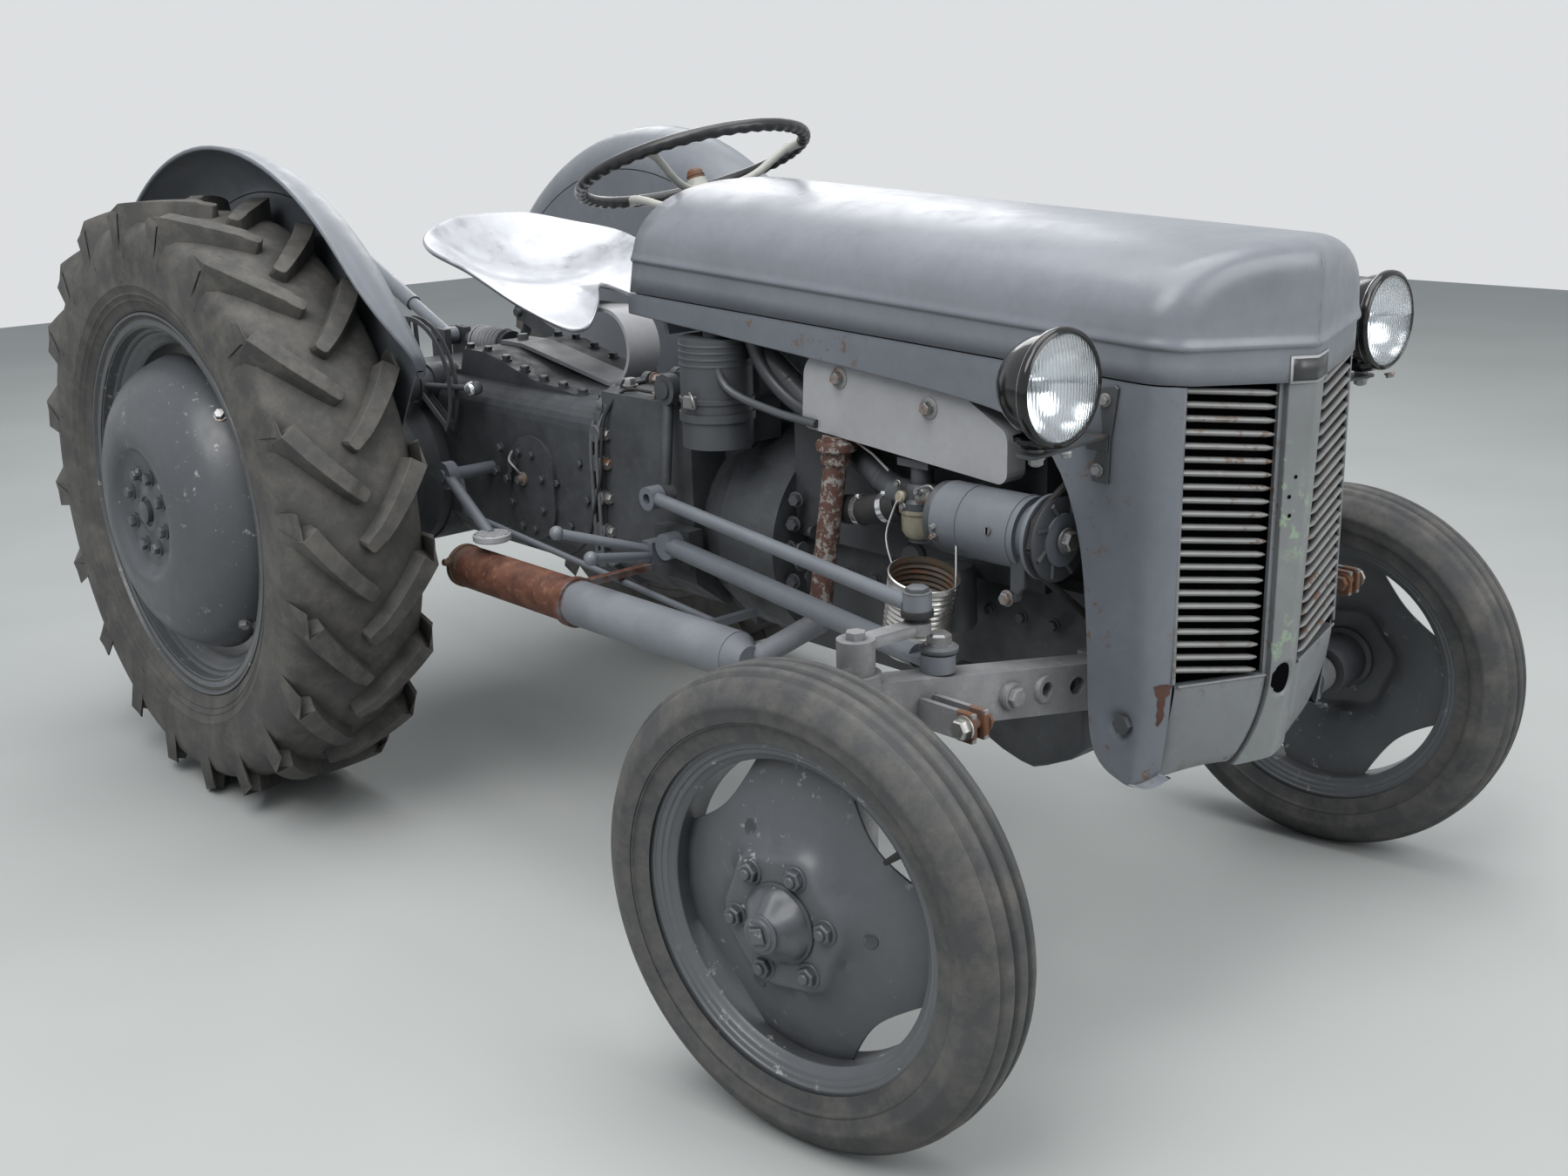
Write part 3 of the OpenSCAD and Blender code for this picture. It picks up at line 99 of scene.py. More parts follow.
# ---------------------------------------------------------------- materials
class Nodes:
    """Builds a shader tree; a node's inputs are given as sockets to link or values to set."""

    def __init__(self, owner):
        owner.use_nodes = True
        self.tree = owner.node_tree
        self.tree.nodes.clear()

    def node(self, kind, inputs=(), **values):
        n = self.tree.nodes.new(f"ShaderNode{kind}")
        for key, value in values.items():
            setattr(n, key, value)
        for key, value in dict(inputs).items():
            self.put(n.inputs[key], value)
        return n

    def put(self, socket, value):
        if isinstance(value, bpy.types.NodeSocket):
            self.tree.links.new(value, socket)
        elif isinstance(value, tuple):
            socket.default_value = (*value, 1)
        else:
            socket.default_value = value

    def calc(self, how, a, b):
        return self.node("Math", {0: a, 1: b}, operation=how).outputs[0]


class Look(Nodes):
    """A procedural material, built from a Principled shader and object coordinates."""

    def __init__(self, name, rough=0.5, metal=0, spec=0.5):
        self.mat = bpy.data.materials.new(name)
        super().__init__(self.mat)
        self.bsdf = self.node("BsdfPrincipled", {"Roughness": rough, "Metallic": metal, "Specular IOR Level": spec})
        self.node("OutputMaterial", {"Surface": self.bsdf.outputs[0]})
        self.coord = self.node("TexCoord").outputs["Object"]

    def noise(self, scale, detail, rough):
        inputs = {"Vector": self.coord, "Scale": scale, "Detail": detail, "Roughness": rough}
        return self.node("TexNoise", inputs).outputs["Fac"]

    def span(self, value, low, high, to_low=0, to_high=1):
        inputs = {"Value": value, "From Min": low, "From Max": high, "To Min": to_low, "To Max": to_high}
        return self.node("MapRange", inputs, clamp=True).outputs["Result"]

    def patches(self, scale, detail, rough, *span):
        """Cloudy mask: noise spread between two of its values."""
        return self.span(self.noise(scale, detail, rough), *span)

    def mix(self, factor, a, b):
        return self.node("Mix", {0: factor, 6: a, 7: b}, data_type="RGBA").outputs[2]

    def tint_by_mask(self, body, mask, strength, colour):
        return self.mix(self.calc("MULTIPLY", mask, strength), body, colour)

    def occlusion_shade(self, distance, low):
        """Mask for painted shade, from ambient occlusion: 1 in corners, 0 in the open."""
        near = self.node("AmbientOcclusion", {"Distance": distance}, samples=6).outputs["AO"]
        return self.span(near, low, 0.95, 1, 0)

    def axis(self, which):
        return self.node("SeparateXYZ", {0: self.coord}).outputs[which]

    def height(self, value, strength, distance):
        bump = self.node("Bump", {"Strength": strength, "Distance": distance, "Height": value})
        self.set("Normal", bump.outputs[0])

    def set(self, key, value):
        self.put(self.bsdf.inputs[key], value)

    def colour(self, value):
        self.set("Base Color", value)

    def rough(self, value):
        self.set("Roughness", value)


def shade(c, k):
    return tuple(min(1, v * k) for v in c)


def paint(name, base, corner_shade=0.35, chips=0, chip_colour=(0.12, 0.075, 0.05), rough=0.38, pits=0.12):
    """Old sprayed enamel: cloudy colour, painted shade in patches in the corners, and small chips."""
    k = Look(name, rough=rough)
    body = k.mix(k.patches(5, 5, 0.6, 0.3, 0.7), shade(base, 0.86), shade(base, 1.1))
    body = k.tint_by_mask(body, k.patches(60, 3, 0.6, 0.35, 0.7), 0.25, shade(base, 0.72))
    if corner_shade:
        # Painted shade: darker in patches where ambient occlusion finds corners
        shade_mask = k.calc("MULTIPLY", k.occlusion_shade(0.045, 0.35), k.patches(14, 5, 0.65, 0.25, 0.75, 0.45, 1))
        body = k.tint_by_mask(body, shade_mask, corner_shade * 1.6, shade(base, 0.2))
    if chips:
        grain = k.patches(48, 4, 0.7, 0.62 - 0.12 * chips, 0.66 - 0.1 * chips)
        body = k.tint_by_mask(body, grain, k.patches(7, 3, 0.5, 0.45, 0.62), chip_colour)
    k.colour(body)
    k.rough(k.patches(18, 4, 0.6, 0.25, 0.75, rough * 0.8, min(1, rough * 1.45)))
    k.height(k.noise(190, 3, 0.5), pits, 0.0006)
    return k.mat


def casting(name, base, corner_shade=0.6, rust=0, rough=0.55):
    """Cast iron under thin paint: sandy surface, painted shade in the corners, a little rust."""
    k = Look(name, rough=rough, spec=0.45)
    body = k.mix(k.patches(8, 6, 0.65, 0.3, 0.72), shade(base, 0.6), shade(base, 1.25))
    # Painted shade: darker where ambient occlusion finds corners
    body = k.tint_by_mask(body, k.occlusion_shade(0.06, 0.3), corner_shade, shade(base, 0.18))
    body = k.tint_by_mask(body, k.patches(30, 5, 0.7, 0.56, 0.7), 0.35, shade(base, 1.7))
    if rust:
        spots = k.patches(26, 6, 0.7, 0.62 - 0.2 * rust, 0.74 - 0.2 * rust)
        body = k.mix(spots, body, (0.13, 0.055, 0.025))
    k.colour(body)
    k.rough(k.patches(20, 4, 0.6, 0.3, 0.7, rough * 0.75, min(1, rough * 1.4)))
    k.height(k.noise(260, 4, 0.6), 0.35, 0.0012)
    return k.mat


def bare_metal(name, base, rough=0.32, rust=0):
    k = Look(name, rough=rough, metal=0.9)
    body = k.mix(k.patches(9, 6, 0.6, 0.3, 0.7), shade(base, 0.78), shade(base, 1.08))
    if rust:
        spots = k.patches(34, 6, 0.75, 0.6 - 0.25 * rust, 0.72 - 0.25 * rust)
        body = k.mix(spots, body, (0.17, 0.075, 0.035))
        k.set("Metallic", k.span(spots, 0, 1, 0.9, 0.1))
    k.colour(body)
    k.rough(k.patches(24, 4, 0.6, 0.3, 0.7, rough * 0.7, min(1, rough * 1.6)))
    k.height(k.noise(150, 4, 0.6), 0.15, 0.0006)
    return k.mat


def rubber(name, base, dust=0.3):
    k = Look(name, rough=0.72, spec=0.35)
    body = k.mix(k.patches(6, 6, 0.6, 0.3, 0.72), shade(base, 0.75), shade(base, 1.35))
    body = k.tint_by_mask(body, k.patches(17, 6, 0.72, 0.42, 0.75), dust, (0.17, 0.155, 0.135))
    # Painted shade: darker in grooves and corners, from ambient occlusion
    body = k.tint_by_mask(body, k.occlusion_shade(0.04, 0.35), 0.75, shade(base, 0.3))
    k.colour(body)
    k.rough(k.patches(12, 4, 0.6, 0.3, 0.7, 0.55, 0.85))
    k.height(k.noise(320, 4, 0.65), 0.28, 0.0008)
    return k.mat


# Painted shadow: dead black with no shine, put in holes, slots and gaps where only shade would be
def flat_black(name):
    k = Look(name, rough=1, spec=0)
    k.colour((0.004, 0.004, 0.005))
    return k.mat


def clear_glass(name):
    k = Look(name, rough=0.03, spec=0.5)
    k.set("Transmission Weight", 1)
    k.set("IOR", 1.3)
    k.colour((0.93, 0.96, 0.97))
    return k.mat


def exhaust_look(name, pipe_only=False):
    """Grey paint on the silencer's front, rust on its rear third, speckled paint on the downpipe."""
    k = Look(name, rough=0.6, spec=0.35)
    grey = k.mix(k.patches(9, 5, 0.6, 0.3, 0.7), (0.15, 0.16, 0.175), (0.2, 0.212, 0.23))
    rust = k.mix(k.patches(22, 6, 0.7, 0.35, 0.65), (0.055, 0.022, 0.016), (0.15, 0.065, 0.04))
    rust = k.mix(k.patches(55, 5, 0.7, 0.56, 0.68, 0, 0.55), rust, (0.27, 0.15, 0.09))
    specks = k.patches(70, 5, 0.75, 0.5, 0.56)
    pipe = k.mix(specks, (0.085, 0.04, 0.03), (0.24, 0.23, 0.21))
    if pipe_only:
        k.colour(pipe)
    else:
        along = k.calc("ADD", k.axis(0), k.calc("MULTIPLY", k.noise(20, 5, 0.7), 0.05))
        tube = k.mix(k.span(along, 0.222, 0.236), rust, grey)
        k.colour(k.mix(k.span(k.axis(2), 0.545, 0.57), tube, pipe))
    k.height(k.noise(240, 5, 0.7), 0.5, 0.0012)
    return k.mat


GREY = (0.17, 0.182, 0.205)
LOOKS = {
    "bonnet": paint("bonnet_paint", GREY, corner_shade=0.18, rough=0.3, pits=0.05),
    "sheet": paint("sheet_paint", (0.145, 0.157, 0.176), corner_shade=0.35, rough=0.36, pits=0.08),
    "grille": paint("grille_paint", (0.24, 0.24, 0.235), corner_shade=0.75, chips=0.5, rough=0.36),
    "cover": paint("cover_paint", (0.34, 0.34, 0.35), corner_shade=0.3, rough=0.42, pits=0.15),
    "wheel": paint("wheel_paint", (0.082, 0.087, 0.094), corner_shade=0.6, chips=0.03, chip_colour=(0.3, 0.3, 0.3),
        rough=0.36),
    "cast": casting("cast_paint", (0.06, 0.064, 0.07)),
    "cast_light": casting("cast_light_paint", (0.1, 0.105, 0.112)),
    "axle": casting("axle_paint", (0.2, 0.2, 0.205), corner_shade=0.7, rough=0.45),
    "dark": paint("dark_paint", (0.06, 0.064, 0.07), corner_shade=0.6, rough=0.4),
    "inside": casting("inside_paint", (0.05, 0.053, 0.058), corner_shade=0.6),
    "black": paint("lamp_black", (0.006, 0.006, 0.0065), corner_shade=0, rough=0.12, pits=0.02),
    "seat": bare_metal("seat_silver", (0.5, 0.51, 0.54), rough=0.36),
    "steel": bare_metal("plain_steel", (0.5, 0.5, 0.5), rough=0.38),
    "bolt": bare_metal("bolt_steel", (0.3, 0.3, 0.3), rough=0.45, rust=0.35),
    "rust": casting("rusty_steel", (0.12, 0.075, 0.055), corner_shade=0.5, rust=0.8, rough=0.7),
    "rim": paint("rim_paint", (0.1, 0.106, 0.113), corner_shade=0.5, chips=0.02, chip_colour=(0.28, 0.28, 0.28), rough=0.34),
    "nose": paint("nose_paint", (0.165, 0.174, 0.182), corner_shade=0.5, chips=0.45, chip_colour=(0.09, 0.065, 0.045),
        rough=0.34),
    "ridge": paint("ridge_paint", (0.175, 0.184, 0.186), corner_shade=0.4, chips=0.7, chip_colour=(0.22, 0.3, 0.21),
        rough=0.34),
    # Painted shade: the side panels take a darker copy of the bonnet's grey, as for sides that face away from the sky
    "panel": paint("panel_paint_shaded", (0.135, 0.148, 0.168), corner_shade=0.25, chips=0.1, rough=0.33, pits=0.06),
    "bracket": paint("bracket_paint", (0.055, 0.06, 0.066), corner_shade=0.4, chips=0.5, chip_colour=(0.13, 0.07, 0.04),
        rough=0.4),
    "plate": paint("plate_paint", (0.03, 0.032, 0.035), corner_shade=0.2, rough=0.35),
    "plate_edge": paint("plate_edge_paint", (0.4, 0.4, 0.4), corner_shade=0.2, rough=0.35),
    # Painted shadow: flat black for holes, slots, gaps and the dark behind the grille
    "shadow_fill": flat_black("painted_shadow_black"), "chip": casting("chipped_rust", (0.075, 0.034, 0.024), corner_shade=0.3, rust=0.25,
        rough=0.8),
    "mirror": bare_metal("lamp_mirror", (0.8, 0.81, 0.83), rough=0.12),
    "chrome": bare_metal("bright_trim", (0.75, 0.76, 0.78), rough=0.15),
    "grip": paint("grip_black", (0.016, 0.016, 0.017), corner_shade=0.2, rough=0.32, pits=0.05),
    "pale": paint("pale_paint", (0.36, 0.36, 0.33), corner_shade=0.5, chips=0.5, chip_colour=(0.16, 0.13, 0.1), rough=0.4),
    "bowl": casting("bowl_metal", (0.3, 0.27, 0.2), corner_shade=0.5, rust=0.35, rough=0.4),
    "hose": rubber("black_hose", (0.02, 0.02, 0.021), dust=0.15),
    "tin": bare_metal("tin_plate", (0.62, 0.61, 0.58), rough=0.25, rust=0.1),
    "tin_inside": casting("tin_inside", (0.09, 0.07, 0.05), corner_shade=0.7, rust=0.6, rough=0.6),
    "exhaust": exhaust_look("exhaust_paint"),
    "exhaust_pipe": exhaust_look("exhaust_pipe_paint", True),
    "glass": clear_glass("lamp_glass"),
    "tyre_front": rubber("front_rubber", (0.055, 0.056, 0.057), dust=0.55),
    "tyre_rear": rubber("rear_rubber", (0.06, 0.059, 0.056), dust=0.6),
}
NODE_LOOKS = {
    "axle": "front_axle knuckle_left knuckle_right",
    "black": "headlamps steering_wheel",
    "bonnet": "bonnet_top",
    "cast": "gearbox_housing centre_housing axle_trumpets steering_box drop_arm_left drop_arm_right lift_arms "
            "lift_rod_left lift_rod_right lower_link_left lower_link_right",
    "cast_light": "quadrant",
    "cover": "manifold_cover seat_spring",
    "dark": "rocker_cover fan air_cleaner intake fuel_tank gear_lever",
    "exhaust": "exhaust",
    "grille": "grille",
    "inside": "engine front_support radiator",
    "seat": "seat_pan",
    "sheet": "bonnet_sides radius_rods dynamo dash fenders footrests pedals drag_link_left drag_link_right top_link",
    "steel": "pto_shaft",
    "tyre_front": "front_tyre_left front_tyre_right",
    "tyre_rear": "rear_tyre_left rear_tyre_right",
    "wheel": "rear_wheel_left rear_wheel_right front_wheel_left front_wheel_right",
}
for look_name, node_names in NODE_LOOKS.items():
    for node_name in node_names.split():
        node_mesh = frame["nodes"][node_name].data
        node_mesh.materials.clear()
        node_mesh.materials.append(LOOKS[look_name])
        smooth_shade(node_mesh, 28)


# ---------------------------------------------------------------- mesh helpers
BODY_PLACE = Matrix.Translation((REAR_X, 0, 0)) @ Matrix.Scale(MM, 4)
MIRROR = Matrix.Diagonal((1, -1, 1, 1))


def side_plane(out=1, y=0, z=0):
    """A frame for outlines in x and z that grow along y, to the left or, with out -1, to the right."""
    return Matrix(((1, 0, 0, 0), (0, 0, out, y), (0, 1, 0, z), (0, 0, 0, 1)))


def aim(origin, direction):
    """A frame at origin whose z axis points along direction."""
    z = Vector(direction).normalized()
    x = Vector(UP).cross(z)
    if x.length < 0.05:
        x = Vector(AHEAD).cross(z)
    x.normalize()
    m = Matrix((x, z.cross(x), z)).transposed().to_4x4()
    m.translation = Vector(origin)
    return m


def flipped(profile):
    """The same half profile on the wheel's other side, in reverse order."""
    return [(r, -z) for r, z in profile[::-1]]


class Form:
    """Gathers solid shapes in millimetres into one object with several materials."""

    def __init__(self, name, place=BODY_PLACE):
        self.name, self.place = name, place
        self.bm = bmesh.new()
        self.looks = []
        self.here = Matrix.Identity(4)

    def skin(self, rings, look, loop=True, ends=True):
        """Joins rings of points one after another; a ring of one point closes the form."""
        if look not in self.looks:
            self.looks.append(look)
        index = self.looks.index(look)
        rows = [[self.bm.verts.new(self.here @ Vector(p)) for p in ring] for ring in rings]
        for a, b in zip(rows, rows[1:]):
            n = max(len(a), len(b))
            for i in range(n if loop else n - 1):
                j = (i + 1) % n
                quad = [a[i % len(a)], a[j % len(a)], b[j % len(b)], b[i % len(b)]]
                unique = [v for k, v in enumerate(quad) if v not in quad[:k]]
                if len(unique) > 2:
                    self.bm.faces.new(unique).material_index = index
        if ends:
            for row, flip in ((rows[0], True), (rows[-1], False)):
                if len(row) > 2:
                    self.bm.faces.new(row[::-1] if flip else row).material_index = index

    def sheet(self, rows, look):
        """An open sheet between rows of points."""
        self.skin(rows, look, loop=False, ends=False)

    def lathe(self, profile, look, frame=None, n=48, closed=False):
        """Turns (radius, height) pairs about the frame's z axis."""
        frame = frame or Matrix.Identity(4)
        angles = [360 * i / n for i in range(n)]
        rings = []
        for r, h in list(profile) + ([profile[0]] if closed else []):
            rings.append([frame @ Vector(polar(r, a, h)) for a in (angles if r else [0])])
        self.skin(rings, look, ends=False)

    def plug(self, place, direction, look, n, *profile):
        """A turned solid with flat ends, on an axis that starts at place."""
        whole = [(0, profile[0][1]), *profile, (0, profile[-1][1])]
        self.lathe(whole, look, aim(place, direction), n)

    def tube(self, points, radius, look, n=12):
        """Round bar along points; radius is one number or one for each point."""
        pts = [Vector(p) for p in points]
        radii = radius if isinstance(radius, list) else [radius] * len(pts)
        side = None
        rings = []
        for i, (p, r) in enumerate(zip(pts, radii)):
            along = (pts[min(i + 1, len(pts) - 1)] - pts[max(i - 1, 0)]).normalized()
            side = side or along.orthogonal().normalized()
            side = (side - along * side.dot(along)).normalized()
            other = along.cross(side)
            rings.append([p + (side * cos(t) + other * sin(t)) * r for t in (2 * pi * k / n for k in range(n))])
        self.skin(rings, look)

    def slab(self, outline, frame, low, high, look, soft=0):
        """Extrudes a 2-D outline along the frame's z axis, with a chamfer at both faces."""
        steps = [(low, soft), (low + soft, 0), (high - soft, 0), (high, soft)] if soft else [(low, 0), (high, 0)]
        self.skin([[frame @ Vector((x, y, h)) for x, y in inset_outline(outline, inset)] for h, inset in steps], look)

    def box(self, x0, x1, y0, y1, z0, z1, look, soft=1.5):
        self.slab([(x0, y0), (x1, y0), (x1, y1), (x0, y1)], Matrix.Identity(4), z0, z1, look, soft)

    def bolt(self, place, direction, look, across=16, head=9, washer=True, turn=0):
        """Hexagon head with a chamfered top, on its washer."""
        f = aim(place, direction) @ Matrix.Rotation(radians(turn), 4, "Z")
        r = across / sqrt(3)
        if washer:
            self.lathe([(0, -1), (r * 1.25, -1), (r * 1.25, 1.6), (r * 1.1, 2.2), (0, 2.2)], look, f, 20)
        self.skin([[f @ Vector((r * k * cos(pi * i / 3), r * k * sin(pi * i / 3), h)) for i in range(6)] for h,
            k in ((0, 1), (head * 0.82, 1), (head, 0.84))], look)

    def done(self, body="root", replaces=(), smooth=32, bevel=0, thick=0):
        bmesh.ops.remove_doubles(self.bm, verts=self.bm.verts, dist=1e-4)
        self.bm.transform(self.place)
        bmesh.ops.recalc_face_normals(self.bm, faces=self.bm.faces)
        mesh = bpy.data.meshes.new(self.name)
        self.bm.to_mesh(mesh)
        self.bm.free()
        for look in self.looks:
            mesh.materials.append(LOOKS[look])
        smooth_shade(mesh, smooth)
        piece = bpy.data.objects.new(self.name, mesh)
        scene.collection.objects.link(piece)
        if thick:
            m = piece.modifiers.new("thickness", "SOLIDIFY")
            m.thickness, m.offset = thick * MM, -1
        if bevel:
            m = piece.modifiers.new("edges", "BEVEL")
            m.width, m.segments, m.limit_method, m.angle_limit = bevel * MM, 2, "ANGLE", radians(38)
        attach(piece, body)
        if replaces:
            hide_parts(*replaces)
        return piece


def inset_outline(outline, d):
    """Moves every corner of a closed outline inwards by about d."""
    if not d:
        return list(outline)
    n = len(outline)
    area = sum(outline[i - 1][0] * outline[i][1] - outline[i][0] * outline[i - 1][1] for i in range(n))
    sign = 1 if area > 0 else -1
    result = []
    for i in range(n):
        p, q, r = (Vector(outline[k % n]) for k in (i - 1, i, i + 1))
        a, b = (q - p).normalized(), (r - q).normalized()
        m = (Vector((-a.y, a.x)) + Vector((-b.y, b.x))) * sign
        result.append(tuple(q + m / max(m.length_squared / 2, 0.4) * d))
    return result


def rounded(points, steps=4, closed=False):
    """Catmull-Rom curve through the points."""
    pts = [Vector(p) for p in points]
    n = len(pts)
    out = []
    for i in range(n if closed else n - 1):
        a, b, c, d = (pts[(i + k) % n if closed else min(max(i + k, 0), n - 1)] for k in (-1, 0, 1, 2))
        for t in (k / steps for k in range(steps)):
            out.append(0.5 * (2 * b + (c - a) * t + (2 * a - 5 * b + 4 * c - d) * t * t
                              + (3 * b - a - 3 * c + d) * t ** 3))
    return out if closed else out + [pts[-1]]


def wheel_place(end, side):
    """Millimetres on a wheel: x forward, y up, z out along its axle, from the middle of its tyre."""
    joint = joints[f"{end}_{side}_spin"]
    out = Vector(joint["axis"]) * (1 if side == "left" else -1)
    up = Vector(UP)
    m = Matrix((Vector(joint["axis"]).cross(up), up, out)).transposed().to_4x4()
    m.translation = Vector(joint["pos_m"])
    return m @ Matrix.Scale(MM, 4)


SIDES = {"right": Matrix.Identity(4), "left": MIRROR}


# ---------------------------------------------------------------- wheels
REAR_R, REAR_W, REAR_LUG = 600, 276, 28
REAR_RIM, REAR_SEAT, REAR_WELL = 386, 356, 324
FRONT_R, FRONT_W = 337, 121
STUD_CIRCLE = 76.2
LUG_TURN = 590  # radius that turns a distance round the rear tyre into an angle
LUG_CORNERS = ((-1, 0), (-1, 0.55), (-1, 1), (1, 1), (1, 0.55), (1, 0))


def rear_carcass():
    w, r = REAR_W / 2, REAR_R - REAR_LUG
    return [(r, 0), (r - 1, w * 0.25), (r - 3.5, w * 0.5), (r - 8, w * 0.68), (r - 15, w * 0.83), (r - 28, w * 0.93),
        (r - 48, w * 0.975), (r - 76, w), (r - 106, w), (r - 128, w * 0.985), (r - 131, w * 0.99),
        (r - 134, w * 0.975), (r - 146, w * 0.945), (r - 149, w * 0.955), (r - 152, w * 0.93), (r - 158, w * 0.905),
        (r - 161, w * 0.915), (r - 164, w * 0.885), (REAR_RIM + 10, w * 0.855), (REAR_RIM + 4, w * 0.835),
        (REAR_RIM, w * 0.80), (REAR_SEAT + 2, w * 0.79)]


def crown(z):
    """Radius of the rear carcass at a distance from its middle plane."""
    return between([(half, r) for r, half in rear_carcass()[:8]], z)


def rear_tyre(side):
    form = Form(f"rear_tyre_{side}_lugged", wheel_place("rear", side))
    half = rear_carcass()
    form.lathe(flipped(half) + half[1:], "tyre_rear", n=112)
    # Middle line of a lug: distance round the tyre and distance from its middle plane
    path = rounded([(-96, -6), (-84, 8), (-66, 28), (-36, 56), (2, 88), (44, 118)], 3)
    lugs = 20
    for i in range(lugs):
        for way in (1, -1):
            base = 2 * pi * (i + (0.5 if way < 0 else 0)) / lugs
            rings = []
            for k, p in enumerate(path):
                t = k / (len(path) - 1)
                q = path[min(k + 1, len(path) - 1)] - path[max(k - 1, 0)]
                normal = Vector((-q.y, q.x)).normalized()
                top = REAR_R - (6 * (1 - t) ** 2 if t < 0.3 else 0) - 3.5 * max(0, t - 0.4) ** 1.2 * 3
                half_top, half_foot = (12 + 6 * t, 19 + 7 * t) if k else (7, 12)
                ring = []
                for edge, lift in LUG_CORNERS:
                    s = p + normal * (half_foot + (half_top - half_foot) * (lift ** 0.7)) * edge
                    low = crown(abs(s.y)) - 5
                    r = low + (top - low) * lift
                    a = base + s.x / LUG_TURN
                    ring.append((r * cos(a), r * sin(a), s.y * way))
                rings.append(ring)
            # The lug's outer end is a flat face that narrows down the sidewall
            for x, out, drop, top, wide in ((58, 130, 22, 583, 25), (63, 136.6, 62, 574, 24)):
                low = crown(out) - drop
                ring = []
                for edge, lift in LUG_CORNERS:
                    r = low + (top - low) * lift
                    a = base + (x + 14 * (1 - lift) + wide * (0.3 + 0.7 * lift) * edge) / LUG_TURN
                    ring.append((r * cos(a), r * sin(a), out * way))
                rings.append(ring)
            form.skin(rings, "tyre_rear")
    form.done(f"wheel_rear_{side}", [f"rear_tyre_{side}"], smooth=38, bevel=2.4)


def rear_wheel(side):
    form = Form(f"rear_wheel_{side}_dished", wheel_place("rear", side))
    w = 116
    rim = [(REAR_RIM, w), (REAR_RIM + 1.5, w - 3), (REAR_RIM, w - 6), (REAR_SEAT + 6, w - 6.5), (REAR_SEAT, w - 10),
        (REAR_SEAT - 4, 78), (REAR_SEAT - 9, 71), (REAR_WELL + 4, 66), (REAR_WELL, 60)]
    inner = [(REAR_WELL - 5, 62), (REAR_WELL + 3, 70), (REAR_SEAT - 22, 73), (REAR_SEAT - 19, 78),
        (REAR_SEAT - 12, 81), (REAR_SEAT - 9, 87), (REAR_SEAT - 1, 90), (REAR_SEAT + 2, 97), (REAR_SEAT + 12, 99),
        (REAR_SEAT + 20, 102), (REAR_SEAT + 23, 111), (REAR_RIM - 4, w)]
    form.lathe(rim + flipped(rim) + flipped(inner) + inner, "rim", n=112, closed=True)
    dish = [(0, 163), (28, 163), (30, 166), (40, 166), (43, 163.5), (56, 163), (108, 163), (118, 166), (125, 174),
        (131, 180), (140, 183), (152, 183.5), (168, 181), (190, 176), (214, 168), (236, 157), (256, 142), (272, 124),
        (284, 104), (292, 84), (297, 70), (300, 62)]
    form.lathe(dish + [(300, 57)] + [(max(r - 1.5, 0), z - 5) for r, z in dish[::-1]], "wheel", n=112)
    # Four feet that join the dish to loops in the rim's well
    for i in range(4):
        f = Matrix.Rotation(radians(45 + 90 * i), 4, "Z")
        for s in (-1, 1):
            pts = [f @ Vector((296, 0, 66)), f @ Vector((306, s * 10, 58)), f @ Vector((REAR_WELL - 3, s * 34, 50))]
            form.tube(pts, 9, "wheel", 10)
        form.bolt(f @ Vector((292, 0, 84)), f @ Vector((0.85, 0, 0.5)), "bolt", 19, 10)
    for i in range(8):
        form.bolt(polar(STUD_CIRCLE, 22.5 + 45 * i, 164), UP, "wheel", 21, 13, turn=17 * i)
    form.lathe([(0, 160), (22, 160), (22, 174), (18, 177), (0, 177)], "wheel", n=24)
    # Brake drum, hub and half shaft behind the dish; back is the drum's outer face
    back = -16
    form.lathe([(30, back - 84), (30, back), (172, back), (176, back + 4), (176, back + 84), (172, back + 90),
        (108, back + 92), (105, 152), (0, 152)], "cast", n=72)
    form.done(f"wheel_rear_{side}", [f"rear_wheel_{side}"], smooth=40)


def front_tyre(side):
    form = Form(f"front_tyre_{side}_ribbed", wheel_place("front", side))
    r, w, rim = FRONT_R, FRONT_W / 2, 263
    half = [(r, 0), (r - 0.4, 6), (r - 2, 9), (r - 6.5, 11), (r - 8.5, 14), (r - 7, 17), (r - 3, 19), (r - 1.6, 22),
        (r - 3, 29), (r - 5.5, 32), (r - 10.5, 34), (r - 12, 36.5), (r - 11, 39), (r - 14, 43), (r - 20, 48),
        (r - 30, 53), (r - 41, w), (r - 47, w + 0.4), (r - 49, w - 0.6), (r - 58, w - 0.8), (r - 66, w - 2.4),
        (rim + 8, w - 4), (rim + 5, w - 4.2), (rim + 3.5, w - 7), (rim, w - 9), (243, w - 12)]
    form.lathe(flipped(half) + half[1:], "tyre_front", n=128)
    form.done(f"wheel_front_{side}", [f"front_tyre_{side}"], smooth=50)


